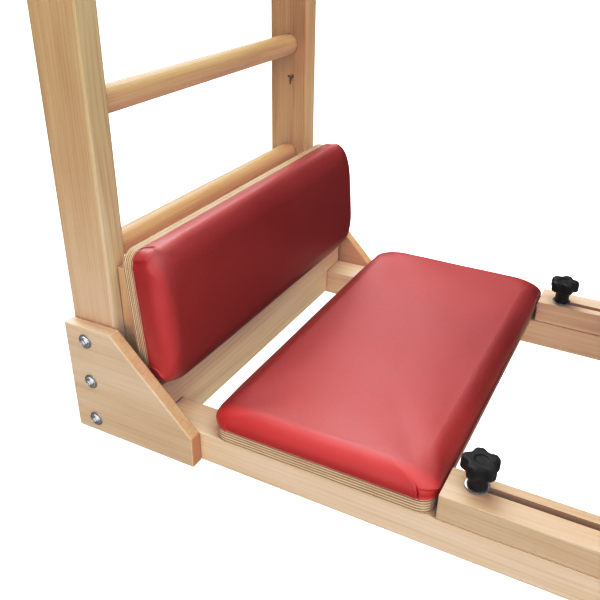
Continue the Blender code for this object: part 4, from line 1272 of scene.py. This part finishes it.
def knob(word, side, phase):
    at = P(KNOB_X, side * SLOT_Y, 0.0)
    round_in = lobed(0.0, phase)

    def blend(share, circle, offset):
        edge = lobed(offset, phase)
        return lambda a: circle + (edge(a) - circle) * share

    profile = [(92.7, 5.4), (92.7, 11.9), (92.95, 12.6), (93.6, 12.95),
               (94.6, 12.95), (95.3, 12.6), (95.8, 12.05), (96.6, 11.85),
               (101.0, 11.8), (106.0, 11.95), (109.5, 12.2),
               (111.5, blend(0.06, 12.35, 1.0)),
               (113.0, blend(0.20, 12.5, 1.0)),
               (114.2, blend(0.45, 12.6, 1.0)),
               (115.1, blend(0.75, 12.6, 1.4)),
               (115.6, lobed(1.5, phase)), (116.2, lobed(0.75, phase)),
               (117.0, lobed(0.30, phase)), (118.2, lobed(0.08, phase)),
               (121.0, lobed(0.0, phase)), (126.0, lobed(0.05, phase)),
               (129.0, lobed(0.20, phase)), (130.6, lobed(0.50, phase)),
               (131.8, lobed(1.05, phase)), (132.7, lobed(1.85, phase)),
               (133.3, lobed(2.9, phase)), (133.65, lobed(4.2, phase)),
               (133.8, lobed(5.8, phase)), (133.75, blend(0.5, 11.0, 6.0)),
               (133.7, 10.4), (133.7, 9.5), (133.45, 9.05), (132.9, 8.85),
               (132.2, 8.7), (131.95, 8.2), (131.9, 7.0), (131.9, 3.0),
               (131.9, 0.3)]
    rings = turned(profile, at, (0, 0, 1), 200)
    turned_piece(word + "_knob_head", rings, KNOB_PLASTIC, word + "_knob",
                 word + "_star_knob", 40)
    profile = [(90.35, 5.5)] + arc(90.95, 15.5, 0.55, -90.0, 0.0, 4)
    profile += arc(91.65, 15.5, 0.55, 0.0, 90.0, 4)
    profile += [(92.2, 6.0), (92.0, 5.5)]
    verts, faces = skin_rings(turned(profile, at, (0, 0, 1), 96), True)
    washer = new_piece(word + "_washer", verts, faces, WASHER, True, 40)
    flip_outward(washer)
    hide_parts(word + "_knob_washer")
    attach(washer, word + "_knob_lift")


KNOB_PLASTIC = plastic("star_knob_plastic", (0.020, 0.020, 0.021),
                       (0.38, 0.50))
knob("near", -1, math.radians(38.0))
knob("far", 1, math.radians(12.0))


# ------------------------------------------------------------- stage and light
FLOOR = 0.80
SKY = (-0.05, 0.55, 0.02, 0.05)          # heights and radiance of the fill
TONE = ((0.10, 0.050), (0.30, 0.165), (0.40, 0.275), (0.52, 0.445),
        (0.70, 0.675), (0.85, 0.845))
LAMPS = (                                # direction, cosines, radiance
    ((-0.50, 0.60, 0.63), (0.90, 0.990), 1.85, 1.0),     # boxes above and behind
    ((-0.60, 0.42, 0.68), (0.77, 0.96), 2.00, 1.0),
    ((-0.30, 0.30, 0.90), (0.80, 0.97), 1.50, 1.0),
    ((0.40, -0.10, 0.91), (0.80, 0.97), 2.25, 0.40),     # overhead, to the right
    ((0.08, -0.25, 0.96), (0.80, 0.97), 0.25, 1.0),
    ((0.85, -0.15, 0.50), (0.75, 0.96), 0.88, 1.0),     # fill from the right
    ((0.30, -0.90, 0.10), (0.75, 0.96), 2.15, 0.35),     # low fill from the front
    ((0.0, -0.78, 0.62), (0.80, 0.97), 0.38, 1.0),
)


def build_world():
    world = bpy.data.worlds.new("studio")
    bpy.context.scene.world = world
    world.use_nodes = True
    g = Graph.__new__(Graph)
    g.tree = world.node_tree
    bg = g.tree.nodes["Background"]
    where = g.coords("Generated")
    total = g.spread(g.xyz(where)[2], *SKY)
    path = g.node("ShaderNodeLightPath").outputs
    for direction, (outer, inner), radiance, gloss in LAMPS:
        d = Vector(direction).normalized()
        part = g.spread(g.vector("DOT_PRODUCT", where, tuple(d)), outer,
                        inner, 0.0, radiance, True)
        if gloss != 1.0:                 # a soft fill that hardly glints
            part = g.math("MULTIPLY", part, g.math(
                "MULTIPLY_ADD", path["Is Glossy Ray"], gloss - 1.0, 1.0))
        total = g.math("ADD", part, total)
    seen = path["Is Camera Ray"]
    plain = g.math("MULTIPLY", seen, 1.0)
    total = g.math("ADD", g.math("MULTIPLY", total,
                                 g.math("SUBTRACT", 1.0, seen)), plain)
    bg.inputs[0].default_value = (1.0, 1.0, 1.0, 1.0)
    g.put(bg.inputs[1], total)


def build_stage():
    g = Graph("floor_finish")
    n = g.noise(g.coords(), 3.0, 2.0)
    g.put(g.shader.inputs["Base Color"],
          g.mix(g.spread(n, 0.3, 0.7), (0.11, 0.11, 0.11),
                (0.12, 0.12, 0.12)))
    g.shader.inputs["Roughness"].default_value = 0.95
    g.shader.inputs["Specular IOR Level"].default_value = 0.0
    g.shader.inputs["Emission Color"].default_value = (1.0, 1.0, 1.0, 1.0)
    # a seamless white for the camera, a little less as bounce light
    seen = g.node("ShaderNodeLightPath").outputs["Is Camera Ray"]
    g.put(g.shader.inputs["Emission Strength"],
          g.math("MULTIPLY_ADD", seen, 0.6, FLOOR))
    s = 40.0
    floor = new_piece("floor", [(-s, -s, -0.0004), (s, -s, -0.0004),
                                (s, s, -0.0004), (-s, s, -0.0004)],
                      [(0, 1, 2, 3)], g.material, False)
    floor.visible_glossy = False         # gloss shows the dim studio instead
    build_world()
    scene = bpy.context.scene
    view = scene.view_settings
    view.view_transform = "Standard"
    view.look = "None"
    # the contrast of the shot, as a curve on the linear values
    view.use_curve_mapping = True
    curve = view.curve_mapping.curves[3]
    for x, y in TONE:
        curve.points.new(x, y)
    view.curve_mapping.update()


build_stage()
